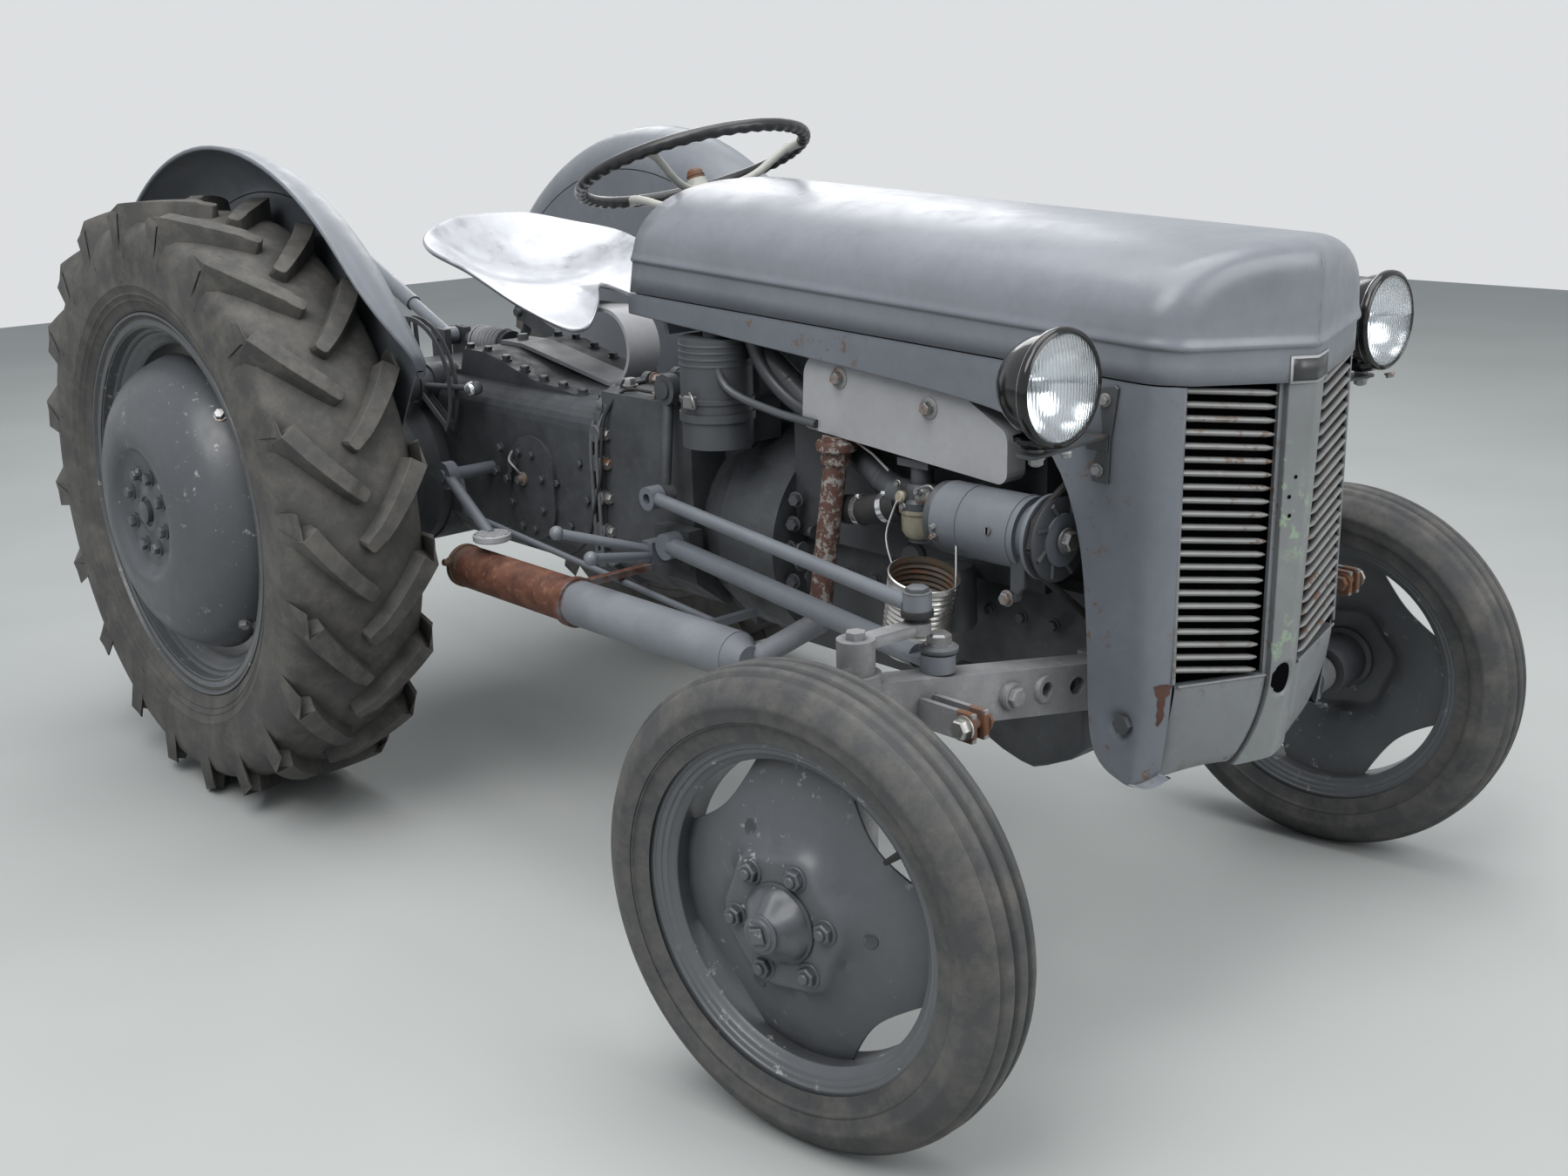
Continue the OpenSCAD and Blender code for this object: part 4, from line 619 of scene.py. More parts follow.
def front_wheel(side):
    form = Form(f"front_wheel_{side}_disc", wheel_place("front", side))
    flange, seat, well, w = 263, 244, 216, 49
    rim = [(flange, w), (flange + 1.2, w - 2.5), (flange, w - 5), (seat + 5, w - 5.5), (seat, w - 9), (seat - 3, 32),
        (seat - 7, 28), (well + 4, 26), (well, 22)]
    inner = [(well - 4, 24), (well + 1, 29), (221, 31), (223, 34), (229, 35.5), (231, 38.5), (237, 39.5), (239, 42.5),
        (246, 43), (252, 44), (255, 48.2), (flange - 2, w + 0.4)]
    form.lathe(rim + flipped(rim) + flipped(inner) + inner, "rim", n=112, closed=True)
    # Disc as a grid of angles and radii, cut back in its four scallops
    rows = [(52, 58), (58, 57), (82, 56.5), (88, 55), (94, 48), (101, 40.5), (124, 33), (150, 25), (176, 15),
        (192, 10), (204, 6), (213.5, 3)]
    n, disc_r, fixed_r, scallop_half, scallop_deep = 144, 213.5, 122, 24, 38

    def edge(a):
        """Outer radius of the disc at an angle."""
        d = a % 90 - 45
        if abs(d) >= scallop_half:
            return disc_r
        return disc_r - scallop_deep * cosd(d * 90 / scallop_half) ** 0.75

    def ring(k, drop):
        out = []
        for i in range(n):
            a = 360 * i / n
            top = edge(a)
            r = rows[k][0]
            if k > 6:
                r = fixed_r + (r - fixed_r) * (top - fixed_r) / (disc_r - fixed_r)
            h = between(rows, r)
            if 2 <= k <= 5:
                lobe = 1.05 + 0.05 * cosd(6 * (a - 8))
                r *= lobe
                h += 3.2 * (1 - (lobe - 1) / 0.1) * (k < 5)
            out.append(polar(r, a, h - drop))
        return out
    form.skin([ring(k, 0) for k in range(len(rows))] + [ring(k, 4.5) for k in range(len(rows) - 1, -1, -1)], "wheel",
        ends=False)
    for i in range(3):
        f = aim(polar(128, 2 + 120 * i, 31.5), polar(0.3, 2 + 120 * i, 1))
        form.lathe([(0, 0.6), (8, 0.6), (10, 1.6), (11.5, 0.2), (11.5, -2)], "inside", f, 20)
    for i in range(6):
        p = Vector(polar(STUD_CIRCLE, 8 + 60 * i, 57))
        form.bolt(p, UP, "wheel", 25, 11, turn=23 * i)
        form.lathe([(8, 10), (8, 14), (6, 16), (0, 16)], "wheel", aim(p, UP), 16)
    # Hub: flange, fluted cone, cap and square plug
    form.lathe([(19.6, -52), (46, -52), (48, -46), (48, 40), (57, 44), (57, 60), (54, 62), (52, 62)], "cast", n=48)
    cone = []
    for h, r, k in ((61, 53, 0), (66, 50, 0.05), (74, 43, 0.1), (82, 34, 0.09), (90, 27, 0.03), (93, 24, 0)):
        cone.append([polar(r * (1 + k * cosd(6 * a - 180)), a, h) for a in range(0, 360, 6)])
    form.skin(cone, "wheel", ends=False)
    form.lathe([(24, 92), (27, 94), (27, 97), (22, 98), (21, 99), (21, 101), (0, 101)], "wheel", n=40)
    form.slab([(-11, -11), (11, -11), (11, 11), (-11, 11)], Matrix.Rotation(0.3, 4, "Z"), 100, 106.5, "wheel", 2)
    # Valve
    form.tube([polar(226, 38, 26), polar(214, 38, 30), polar(196, 38, 36)], [6, 5, 3.5], "black")
    form.done(f"wheel_front_{side}", [f"front_wheel_{side}"], smooth=40, bevel=0.8)


for side_name in SIDES:
    rear_tyre(side_name)
    rear_wheel(side_name)
    front_tyre(side_name)
    front_wheel(side_name)

# ---------------------------------------------------------------- bonnet, grille and lamps
HALF_W, CROWN_H, CROWN_N = 238, 124, 2.5
REAR_SLANT = 0.218
BONNET_REAR, PARTING_Z = 901, 1041
PIVOT_X, PIVOT_Z = 1968, 519
FALL = radians(2.7)


def smooth_step(a, b, x):
    t = min(1, max(0, (x - a) / (b - a)))
    return t * t * (3 - 2 * t)


def parting_z(x):
    return PARTING_Z - (x - BONNET_REAR) * 0.041 if x < 2022 else 995 - (x - 2022) * 15.5 / 71


def crease_z(x):
    return 1096 - (x - 949) * 51 / 1062 if x < 2011 else 1045 - (x - 2011) * 14 / 82


def soft_min(a, b, k):
    return min(a, b) - max(k - abs(a - b), 0) ** 2 / (4 * k)


def inside_bonnet(p):
    """How far a point lies inside the bonnet's outer skin."""
    z = (p.z - 1220) * cos(FALL) + (p.x - 940) * sin(FALL)
    up = max(0, z + CROWN_H)
    g = ((abs(p.y) / HALF_W) ** CROWN_N + (up / CROWN_H) ** CROWN_N) ** (1 / CROWN_N)
    rho = hypot(p.y, up)
    top = rho / g - rho if g > 1e-6 else CROWN_H
    # The two flat halves of the pointed front
    front = 2003.2 - (0.9563 * p.x + 0.2924 * sqrt(p.y * p.y + 60))
    d = soft_min(soft_min(top, HALF_W - abs(p.y), 4), front, 46 if up < 40 else 40)
    # A rounded crease along the side, and a step below it
    above = p.z - crease_z(p.x)
    return d + 3.4 * exp(-(above / (8 if above > 0 else 2.6)) ** 2) - 1.5 * smooth_step(1, 7, -above)


def bonnet_point(origin, direction):
    low, high = 0, 420
    for _ in range(24):
        mid = (low + high) / 2
        if inside_bonnet(origin + direction * mid) > 0:
            low = mid
        else:
            high = mid
    return origin + direction * low


def bonnet_skin():
    form = Form("bonnet_skin")
    turn_x = 1940
    along, around, upward = 26, 44, 26
    columns = [(BONNET_REAR + (turn_x - BONNET_REAR) * i / along, 90) for i in range(along + 1)]
    columns += [(turn_x, 90 - 90 * i / around) for i in range(1, around + 1)]
    grid = []
    for k, (x, plan) in enumerate(columns):
        a = radians(plan)
        flat = Vector((cos(a), -sin(a), 0))
        share = max(0, 1 - k / along)
        column = []
        tip = x if k <= along else bonnet_point(Vector((x, 0, 1010)), flat).x
        zp, zc = parting_z(tip), crease_z(tip)
        heights = [zp, zp + 0.5 * (zc - zp), zc - 9, zc - 6, zc - 4, zc - 2.5, zc - 1.2, zc, zc + 2, zc + 5, zc + 9,
            zc + 14]
        for z in heights:
            origin = Vector((x + (z - PARTING_Z) * REAR_SLANT * share, 0, z))
            column.append(bonnet_point(origin, flat))
        for i in range(1, upward + 1):
            e = radians(90 * (i / upward) ** 0.9)
            d = flat * cos(e) + Vector((0, 0, sin(e)))
            origin = Vector((x, 0, zc + 14))
            hit = bonnet_point(origin, d)
            if share:
                hit = bonnet_point(Vector((x + (hit.z - PARTING_Z) * REAR_SLANT * share, 0, zc + 14)), d)
            column.append(hit)
        grid.append(column)
    for mirrored in (False, True):
        rings = [[Vector((p.x, -p.y, p.z)) if mirrored else p for p in column] for column in grid]
        form.sheet(rings, "bonnet")
    form.done("bonnet", ["bonnet_top"], smooth=60, thick=-2.4)


NOSE_X, NOSE_FOOT, NOSE_TOP, PANEL_SIDE = 2092, 431, 985, 199


def nose_face(y, z, proud=0):
    """A point of the nose's front below the bonnet, leaning back to the bottom."""
    side = min(abs(y) / 200, 1.05)
    x = NOSE_X - (sqrt(y * y + 40) - 6.3) * 0.322 - (NOSE_TOP - z) * 0.040 * (1 - side)
    if z < 585:
        x -= (26 * side ** 1.5 + 14) * ((585 - z) / 150) ** 1.7
    return Vector((x + proud * 0.953, y + proud * (-0.3 if y < 0 else 0.3 if y > 0 else 0), z))


def panel_foot(y):
    """Height of the lower panel's lower edge."""
    side = min(abs(y) / 200, 1)
    return NOSE_FOOT + 10 * sin(pi * side) - 4 * side


def strip_half(z):
    """Half width of the middle strip."""
    if z > 560:
        return 33 + 11 * (z - 560) / 420
    return 33 + 34 * ((560 - z) / 130) ** 2.2


def grille():
    form = Form("grille_barred")
    bars = 22
    for s in (-1, 1):
        for i in range(bars):
            outer, inner = 604.8 + 18.2 * i, 576.8 + 18.64 * i
            rings = []
            for k in range(17):
                t = 1 - (1 - k / 16) ** 1.6
                y = -205 + t * 151
                end = min(1, sqrt(max(0, (1 - t) * 9)) + 0.02)
                c = nose_face(s * y, outer + (inner - outer) * t, -7.5)
                rings.append([c + Vector((7.5 * cos(a) * end, 0, 4.6 * sin(a) * end))
                    for a in (2 * pi * j / 12 for j in range(12))])
            form.skin(rings, "grille")
        # Lower panel with a folded edge
        rows = []
        for t, p in ((0, -16), (0, -3), (0.006, -0.8), (0.02, 0.6), (0.06, 0.9), (0.15, 0.6), (0.3, 0.5), (0.45, 0.5),
                (0.6, 0.5), (0.75, 0.5), (0.88, 0.3), (0.96, -1), (0.995, -5), (1, -14)):
            row = []
            for j in range(17):
                u = j / 16
                top = 581 - 13 * u
                z = top + (panel_foot(163 * u - PANEL_SIDE) - top) * t
                y = (PANEL_SIDE - 4 - strip_half(z)) * u - PANEL_SIDE
                row.append(nose_face(s * y, z, p - (5 if j in (0, 16) else 0)))
            rows.append(row)
        form.sheet(rows, "nose")
        # Bright folded rim round the panel's top
        form.tube([nose_face(s * y, 580.5 - 13 * (y + 199) / 160, 0.2) for y in range(-197, -38, 12)], 2, "nose", 8)
        # Flange beside the strip and the frame at the corner
        edge = []
        for z in range(566, 985, 16):
            h = strip_half(z)
            edge.append([nose_face(s * -h - s * 0.5, z, -1), nose_face(s * -(h + 1), z, -6),
                nose_face(s * -(h + 8), z, -6.5), nose_face(s * -(h + 9), z, -12)])
        form.sheet(edge, "nose")
        form.tube([nose_face(s * -203, z, -3) for z in range(585, 990, 27)], 3.2, "nose", 8)
        # Painted shadow: a flat black sheet behind the bars stands in for the dark inside the nose
        dark = [[nose_face(s * y, z, -34) for y in (-203, -150, -100, -50, -1)] for z in (450, 560, 700, 850, 990)]
        form.sheet(dark, "shadow_fill")
    hole_y, hole_z = -6, 556
    # Ridge strip: share of its half width and height over the nose, out to its edge
    right = [(0.04, 2.2), (0.1, 2), (0.2, 2), (0.3, 2), (0.4, 2), (0.55, 2), (0.75, 1.6), (0.9, 1.2), (0.96, 0.8),
        (0.995, -2), (1, -12)]
    rows = []
    for z in [NOSE_FOOT + i * 3 for i in range(6)] + list(range(452, 520, 8)) + list(range(520, 600,
            3)) + list(range(600, 984, 12)) + [984]:
        h = strip_half(z)
        row = []
        for t, p in [(-t, p) for t, p in right[::-1]] + [(0, 2.3)] + right:
            y = t * h
            near = hypot((y - hole_y) / 24, (z - hole_z) / 27)
            row.append(nose_face(y, z, p - 4.5 * (1 - smooth_step(0.84, 1, near))))
        rows.append(row)
    form.sheet(rows, "ridge")
    # Painted shadow: flat black rings and disc fill the hole for the starting handle
    hole = [[nose_face(hole_y + cos(t) * r * 0.9, hole_z + sin(t) * r, p) for t in (2 * pi * i / 40 for i in range(40))]
        for r, p in ((22.5, -1.4), (20, -1.2), (10, -1))] + [[nose_face(hole_y, hole_z, -1)]]
    form.skin(hole, "shadow_fill", ends=False)
    # Painted shadow: three small flat black discs stand in for holes in the ridge
    for y, z in ((-20, 851), (-28, 824), (-25, 797)):
        form.lathe([(2.8, 1.5), (2.8, 2.6), (0, 2.6)], "shadow_fill", aim(nose_face(y, z, 0), (0.953, -0.3, 0)), 12)
    form.done("bonnet", ["grille"], smooth=38)
    # Blank plate folded over the ridge
    plate = Form("nose_plate")
    for look, y1, z0, z1, p in (("plate_edge", 45, 978.5, 1015.5, 2.6), ("plate", 41.5, 982, 1012, 3.3)):
        rows = [[bonnet_point(Vector((1900, y, z + 2.5 * abs(y) / 45)), Vector(AHEAD)) + Vector((p, 0, 0))
            for y in (-y1, -y1 / 2, -3, 0, 3, y1 / 2, y1)] for z in (z0, (z0 + z1) / 2, z1)]
        plate.sheet(rows, look)
    plate.done("bonnet", smooth=20, thick=-2)


def leaned(x, z, at_x):
    """An x that follows the side panel's front edge, which leans back to its foot."""
    front = smooth_step(1950, 2030, at_x)
    foot = 0 if z > 598 else 16 * ((598 - z) / 165) ** 1.4 * front
    return x - foot - (NOSE_TOP - z) * 0.012 * front


def side_panels():
    turn_x, turn_y, turn_r = 1985, -188, 46
    lower = [(p.x, p.y) for p in rounded([(888, 1004), (1190, 981), (1492, 958), (1690, 939), (1775, 921), (1830, 888),
        (1868, 830), (1892, 750), (1904, 650), (1909, 560), (1914, 500), (1924, 466), (1946, 445), (1980, 435),
        (2006, 434), (2018, 438), (2028, 447), (2040, 462)], 6)]
    stations = [(x, None) for x in list(range(892, 1700, 60)) + list(range(1700, 1890, 14)) + [1890, 1894, 1898, 1902,
        1905, 1907, 1909, 1911, 1914, 1918, 1924, 1932] + list(range(1940, 1986, 5))]
    stations += [(turn_x, -90 + i * 73 / 14) for i in range(1, 15)]
    ts = [0, 0.006, 0.02, 0.045, 0.07, 0.085] + [0.09 + 0.0095 * i for i in range(14)] + [0.24, 0.3, 0.4, 0.55, 0.7,
        0.85, 1]
    for name, mirror in SIDES.items():
        right = name == "right"
        form = Form(f"side_panel_{name}")
        form.here = mirror
        rings = []
        for x, angle in stations:
            if angle is None:
                px, py, inward = x, turn_y - turn_r, Vector((0, 1, 0))
            else:
                c, s = cosd(angle), sind(angle)
                px, py, inward = turn_x + turn_r * c, turn_y + turn_r * s, -Vector((c, s, 0))
            zl, zh = between(lower, px), parting_z(px) - 4
            ring = [Vector((px, py, zl + 1)) + inward * 9, Vector((px, py, zl + 0.3)) + inward * 2]
            for t in ts:
                z = zl + 1.2 + (zh - zl - 1.2) * t
                dent = 6.5 * (1 - smooth_step(9, 27, hypot(px - PIVOT_X, z - PIVOT_Z)))
                ring.append(Vector((leaned(px, z, px), py, z)) + inward * dent)
            rings.append(ring + [ring[-1] + inward * 8])
        form.sheet(rings, "panel")
        # Painted shadow: a black strip behind the gap under the bonnet's edge
        dark = [[Vector((x, -227, parting_z(x) + dz)) for dz in (-14, 6)] for x in range(905, 1990, 60)]
        form.sheet(dark, "shadow_fill")
        form.done("bonnet", ["bonnet_sides"] if right else [], smooth=45, thick=-2 if right else 2)
        if right:
            patch = Form("chipped_corner")
            rows = [(586, -40, -28), (583, -50, -19), (577, -47, -22), (571, -46, -21), (566, -41, -29),
                (557, -42, -28), (549, -39, -30), (541, -41, -27), (534, -38, -29), (528, -40, -33), (525, -37, -35)]
            r = turn_r + 2.6
            strips = [[Vector((leaned(turn_x + r * cosd(a), z, 2022), turn_y + r * sind(a), z))
                for a in (a0, (a0 + a1) / 2, a1)] for z, a0, a1 in rows]
            patch.sheet(strips, "chip")
            patch.done("bonnet", smooth=60)
        bolt = Form(f"pivot_bolt_{name}")
        bolt.here = mirror
        bolt.lathe([(0, 2.2), (8.5, 2), (10, 1.2), (10.6, -1), (10.6, -4)], "rust", aim((PIVOT_X, -227.4, PIVOT_Z),
            OUT), 24)
        # Painted shadow: a black bar for the slot in the bolt's head
        bolt.box(1966.8, 1969.2, -230.4, -229.2, 511, 527, "shadow_fill", 0.3)
        bolt.done("root")


def headlamps():
    form = Form("headlamp_bowls")
    glass = Form("headlamp_lenses")
    for mirror in SIDES.values():
        for f in (form, glass):
            f.here = mirror
        place = aim((1978, -392, 1010), (1, -0.02, 0))
        bowl = [(0, -84), (12, -83.6), (26, -81), (40, -74), (52, -62), (61, -47), (67, -30), (70, -14), (70.5, -11),
            (74.5, -10.5), (76, -8), (76.4, -3), (75.6, 1), (73, 3.4), (70, 4.2), (68, 2.6), (67, 0)]
        form.lathe(bowl, "black", place, 72)
        form.lathe([(67, 0), (60, -14), (46, -30), (30, -41), (14, -47), (0, -48)], "mirror", place, 72)
        form.lathe([(0, -30), (9, -30), (11, -36), (9, -46)], "mirror", place, 24)
        form.lathe([(74, -9.5), (75.6, -9), (75.6, -8)], "chrome", place, 72)
        # Rim clip, foot nuts and bolts under the bowl
        form.bolt((1986, -392, 930), (0.25, 0, -1), "bolt", 11, 7)
        form.bolt((1938, -392, 934), (0, 0, -1), "bolt", 17, 12)
        form.tube([(1938, -392, 950), (1938, -392, 906)], 6, "bolt")
        form.bolt((1938, -392, 917), (0, 0, -1), "bolt", 17, 10)
        form.lathe([(8, 0), (22, 3), (30, 12), (30, 16)], "black", aim((1938, -392, 928), UP), 24)
        # Flat bracket on the panel and its arm
        plate = [(1908, 857), (1936, 856), (1938, 912), (1949, 986), (1944, 990), (1922, 985), (1918, 979),
            (1924, 930), (1908, 866)]
        form.slab(plate, side_plane(-1), 234.6, 240, "bracket", 1.2)
        arm = [(1888, -238), (1937, -238), (1940, -298), (1952, -388), (1952, -408), (1944, -416), (1926, -416),
            (1918, -406), (1918, -388), (1898, -298)]
        form.slab(arm, Matrix.Translation((0, 0, 918)), 0, 5.5, "bracket", 1.2)
        form.slab([(1900, 900), (1936, 900), (1936, 922), (1904, 922)], side_plane(-1), 238, 243, "bracket", 1)
        for x, z in ((1929, 969), (1919, 873)):
            form.bolt((x, -240, z), OUT, "bolt", 13, 8, turn=12)
        # Glass with upright flutes
        rings = []
        lens_r, flute = 68.5, 5.95
        for u in (-68.4 + i * 136.8 / 92 for i in range(93)):
            half = sqrt(lens_r ** 2 - u * u)
            ring = []
            for v in (half * sin(pi * (j / 24 - 0.5)) for j in range(25)):
                r = hypot(u, v)
                h = 3.2 + 10.6 * (1 - (r / lens_r) ** 2)
                ring.append(place @ Vector((u, v, h + (0.55 * cos(u * 2 * pi / flute) if r < 66 else 0))))
            rings.append(ring)
        glass.sheet(rings, "glass")
    form.done("bonnet", ["headlamps"], smooth=40)
    glass.done("bonnet", smooth=60, thick=1.6)


bonnet_skin()
grille()
side_panels()
headlamps()


# ---------------------------------------------------------------- mudguards
def mudguards():
    """A flat wall beside the tyre that rolls outwards in a quarter round to a beaded edge."""
    form = Form("mudguards_rolled")
    # Reach over the tyre and height of the roll at an angle from the front
    reach = [(27.5, 22), (28.5, 40), (30, 54), (33, 74), (37, 91), (42, 103), (48, 106), (142, 109)]
    rise = [(27.5, 52), (28.5, 80), (30, 91), (33, 95), (142, 95)]
    hub_z, foot = 600, 600
    angles = [27.5, 28, 28.6, 29.4, 30.5, 32, 34, 36, 38.5, 41] + [44 + 3.5 * i for i in range(29)]

    def bend(r, turns):
        return [(r * cosd(a), hub_z + r * sind(a)) for a in turns]

    wall = [(84, 651), (150, 651), (451, 778), (527, 900)] + bend(601, [30.3] + angles[5:])
    wall += [(-150, 651), (-84, 651)] + bend(94, range(144, 32, -9))
    for mirror in SIDES.values():
        form.here = mirror
        rings = []
        for a in angles:
            wide, high = between(reach, a), between(rise, a)
            c, n = cosd(a), sind(a)
            outer, inner = [(foot - 2, 0)], [(foot - 2, 2.6)]
            for t in (pi / 2 * k / 10 for k in range(11)):
                outer.append((foot + (high - 3) * sin(t), -wide * (1 - cos(t))))
                inner.append((foot + (high - 6) * sin(t), 2.6 - (wide - 1) * (1 - cos(t))))
            r, y = foot + high - 5.5, -wide - 2
            bead = [(r + 4.6 * sin(b), y - 4.6 * cos(b)) for b in map(radians, (70, 30, 0, -40, -90, -140))]
            rings.append([Vector((q * c, -450 + v, hub_z + q * n)) for q, v in outer + bead + inner[::-1]])
        form.skin(rings, "sheet")
        form.slab(wall, side_plane(), -450, -447.4, "sheet")
        form.box(-60, 60, -448.5, -408, 677, 689, "sheet", 1)
    form.done("root", ["fenders"], smooth=42)


mudguards()


# ---------------------------------------------------------------- seat and steering wheel
def seat():
    rim = [(98, 0, 0), (108, 92, -4), (150, 180, -26), (250, 235, -48), (372, 226, -84), (490, 196, -142),
        (578, 152, -184), (590, 108, -184), (548, 52, -150), (493, 0, -122)]
    loop = [Vector((x, -y, 1130 + z)) for x, y, z in rim] + [Vector((x, y, 1130 + z)) for x, y, z in rim[-2:0:-1]]
    edge = rounded(loop, 8, closed=True)
    mid = Vector((330, 0, 1002))
    form = Form("seat_rolled")

    def row(s, drop=0):
        points = []
        for p in edge:
            q = mid + (p - mid) * s
            z = mid.z + (p.z - mid.z) * min(s, 1) ** 2.3 - drop
            # A shallow hollow for the sitter
            z -= 7 * exp(-((q.x - 250) / 90) ** 2 - (q.y / 120) ** 2)
            points.append(Vector((q.x, q.y, z)))
        return points

    shares = [0.04, 0.14, 0.24, 0.34, 0.44, 0.54, 0.64, 0.73, 0.81, 0.88, 0.93, 0.965, 0.985, 1]
    rings = [row(s) for s in shares]
    rings += [row(1.012, -1.5), row(1.024, 0.5), row(1.028, 4), row(1.02, 8), row(1.004, 9), row(0.992, 7),
        row(0.99, 4)]
    rings += [row(s, 3.2) for s in shares[::-1][1:]]
    form.skin(rings, "seat")
    form.done("root", ["seat_pan"], smooth=50)


def hand_wheel():
    place = BODY_PLACE @ Matrix.Translation((796, 0, 1241)) @ Matrix.Rotation(radians(-20), 4, "Y")
    form = Form("hand_wheel_gripped", place)
    ring_r, steps, sides, grips = 211, 288, 14, 48
    rings = []
    for a in (2 * pi * i / steps for i in range(steps + 1)):
        ring = []
        for t in (2 * pi * j / sides for j in range(sides)):
            r = 12 - 2.4 * max(0, -sin(t)) ** 0.7 * (0.5 + 0.5 * cos(a * grips))
            far = ring_r + r * cos(t)
            ring.append((far * cos(a), far * sin(a), r * sin(t)))
        rings.append(ring)
    form.skin(rings, "grip", ends=False)
    for a in (60, 180, 300):
        path = rounded([(14, -46), (60, -50), (110, -40), (160, -14), (186, -4), (206, -1)], 4)
        form.tube([polar(p.x, a, p.y) for p in path], [7.5 if 18 < p.x < 180 else 9.5 for p in path], "pale", 14)
    form.lathe([(0, -72), (23, -72), (24, -70), (24, -58), (20, -40), (18, -30), (18, -26), (0, -26)], "pale", n=32)
    form.lathe([(0, -27), (17, -27), (17.5, -24), (15.5, -22), (17, -20), (17, -18), (14.5, -16.5), (15, -13),
        (12, -8), (6, -5.4), (0, -5)], "rust", n=32)
    form.lathe([(0, -210), (10.9, -210), (10.9, -70), (0, -70)], "dark", n=24)
    form.done("hand_wheel", ["steering_wheel"], smooth=44)


# ---------------------------------------------------------------- small parts
def engine_details():
    form = Form("engine_fittings")
    # Carburettor: bowl, body, elbow, linkage and its hose clamps
    bowl = aim((1548, -192, 0), UP)
    form.lathe([(0, 697), (5, 697), (6, 703), (14, 704), (24, 709), (29, 718), (30, 742), (30, 746), (33, 747),
        (33, 752), (30, 753), (0, 753)], "bowl", bowl, 32)
    form.lathe([(0, 752), (31, 752), (31, 764), (26, 770), (24, 784), (20, 792), (0, 792)], "bracket", bowl, 28)
    form.plug((1566, -206, 776), (1, -0.25, 0.1), "bolt", 20, (15, 0), (16, 3), (12, 8), (12, 30), (17, 33), (17, 40))
    form.plug((1535, -216, 772), (0, -1, 0.1), "bowl", 16, (9, 0), (10, 8), (7, 12))
    for p in ((1522, -214, 790), (1570, -222, 786), (1540, -222, 758)):
        form.bolt(p, OUT, "bolt", 9, 6)
    form.tube(rounded([(1572, -226, 790), (1600, -226, 800), (1618, -216, 778), (1640, -206, 800)], 4), 2.5, "bolt", 8)
    form.tube([(1500, -212, 806), (1460, -206, 826), (1400, -200, 846)], 2.2, "bolt", 8)
    elbow = [(1380, -186, 722), (1420, -190, 728), (1450, -190, 735), (1478, -190, 742), (1508, -190, 752)]
    form.tube(rounded(elbow, 3), 24, "hose", 20)
    for first, last, middle in ((0, 1, 1), (3, 4, 3)):
        c = Vector(elbow[middle])
        f = aim(c, Vector(elbow[last]) - Vector(elbow[first]))
        form.lathe([(24.6, -6), (25.8, -5.6), (25.8, 5.6), (24.6, 6)], "chrome", f, 32)
        form.bolt(c + Vector((0, -14, 24)), (1, 0, 0.2), "chrome", 8, 8, washer=False)
    # Bolts of the manifold's cover, with their washers
    for x, z in ((1400, 940), (1590, 915)):
        form.plug((x, -218, z), OUT, "bolt", 24, (17, -1), (17, 1.2), (14, 2.4))
        form.bolt((x, -218, z), OUT, "bolt", 19, 13, washer=False, turn=20)
    # Dynamo: straps, end bracket, terminals, pulley, fan belt
    dy, dz = -222, 760
    for x in (1692, 1788):
        form.lathe([(53.8, -1.6), (55.4, -1.2), (55.4, 1.2), (53.8, 1.6)], "sheet", aim((x, dy, dz), AHEAD), 56)
    form.plug((1642, dy, dz), (-1, 0, 0), "dark", 48, (50, 0), (52, 4), (52, 14), (44, 18))
    form.plug((1757, -276, 768), (0, -1, 0.1), "bolt", 16, (5.5, 0), (5.5, 2.5))
    # Painted shadow: a black bar for the slot in the terminal's screw
    form.box(1755.6, 1758.4, -279.4, -277, 763, 773, "shadow_fill", 0.2)
    for z in (742, 756):
        form.bolt((1652, -274, z), (0, -1, -0.2), "bolt", 8, 8)
    form.slab([(1786, -30), (1800, -34), (1812, -20), (1812, 30), (1800, 40), (1786, 34)], side_plane(1, -262, 712), 0,
        12, "dark", 2)
    form.tube([(1799, -256, 700), (1792, -250, 672), (1774, -238, 664)], 7, "dark", 10)
    form.bolt((1772, -250, 666), OUT, "bolt", 17, 10)
    for x in (1829, 1843):
        form.lathe([(22, 0), (54, 0), (60, -2.5), (61, 0.5), (54, 3), (22, 3.5)], "dark", aim((x, dy, dz), AHEAD), 56,
            closed=True)
    form.bolt((1856, dy, dz), AHEAD, "bolt", 26, 12)
    for a in (2 * pi * k / 8 for k in range(8)):
        form.tube([(1846, dy + r * cos(b), dz + r * sin(b)) for r, b in ((26, a), (56, a + 0.4))], 4, "dark", 6)
    belt = [(-279, 755), (-268, 792), (-242, 812), (-150, 860), (-100, 880), (-60, 870), (-50, 640), (-70, 600),
        (-110, 600), (-252, 712)]
    form.tube([(1836, y, z) for y, z in belt + belt[:1]], 6, "hose", 8)
    # Pipes behind the cover
    form.tube(rounded([(1150, -190, 1000), (1180, -180, 930), (1240, -172, 880), (1330, -168, 850), (1372, -168, 830)],
        5), 13, "dark", 14)
    form.tube(rounded([(1120, -240, 965), (1150, -236, 900), (1250, -226, 872), (1350, -222, 862)], 5), 7, "dark", 10)
    # Band and clip on the air cleaner
    f = aim((1086, -204, 0), UP)
    form.lathe([(62.4, 868), (64.4, 869), (64.4, 877), (62.4, 878)], "dark", f, 56)
    form.box(1080, 1104, -274, -262, 862, 884, "bolt", 2)
    form.tube(rounded([(1096, -272, 890), (1112, -280, 884), (1116, -278, 868), (1100, -270, 862)], 4), 2.2, "bolt", 8)
    for k in range(4):
        form.lathe([(62, 930 + 11 * k), (63, 931 + 11 * k), (63, 934 + 11 * k), (62, 935 + 11 * k)], "dark", f, 48)
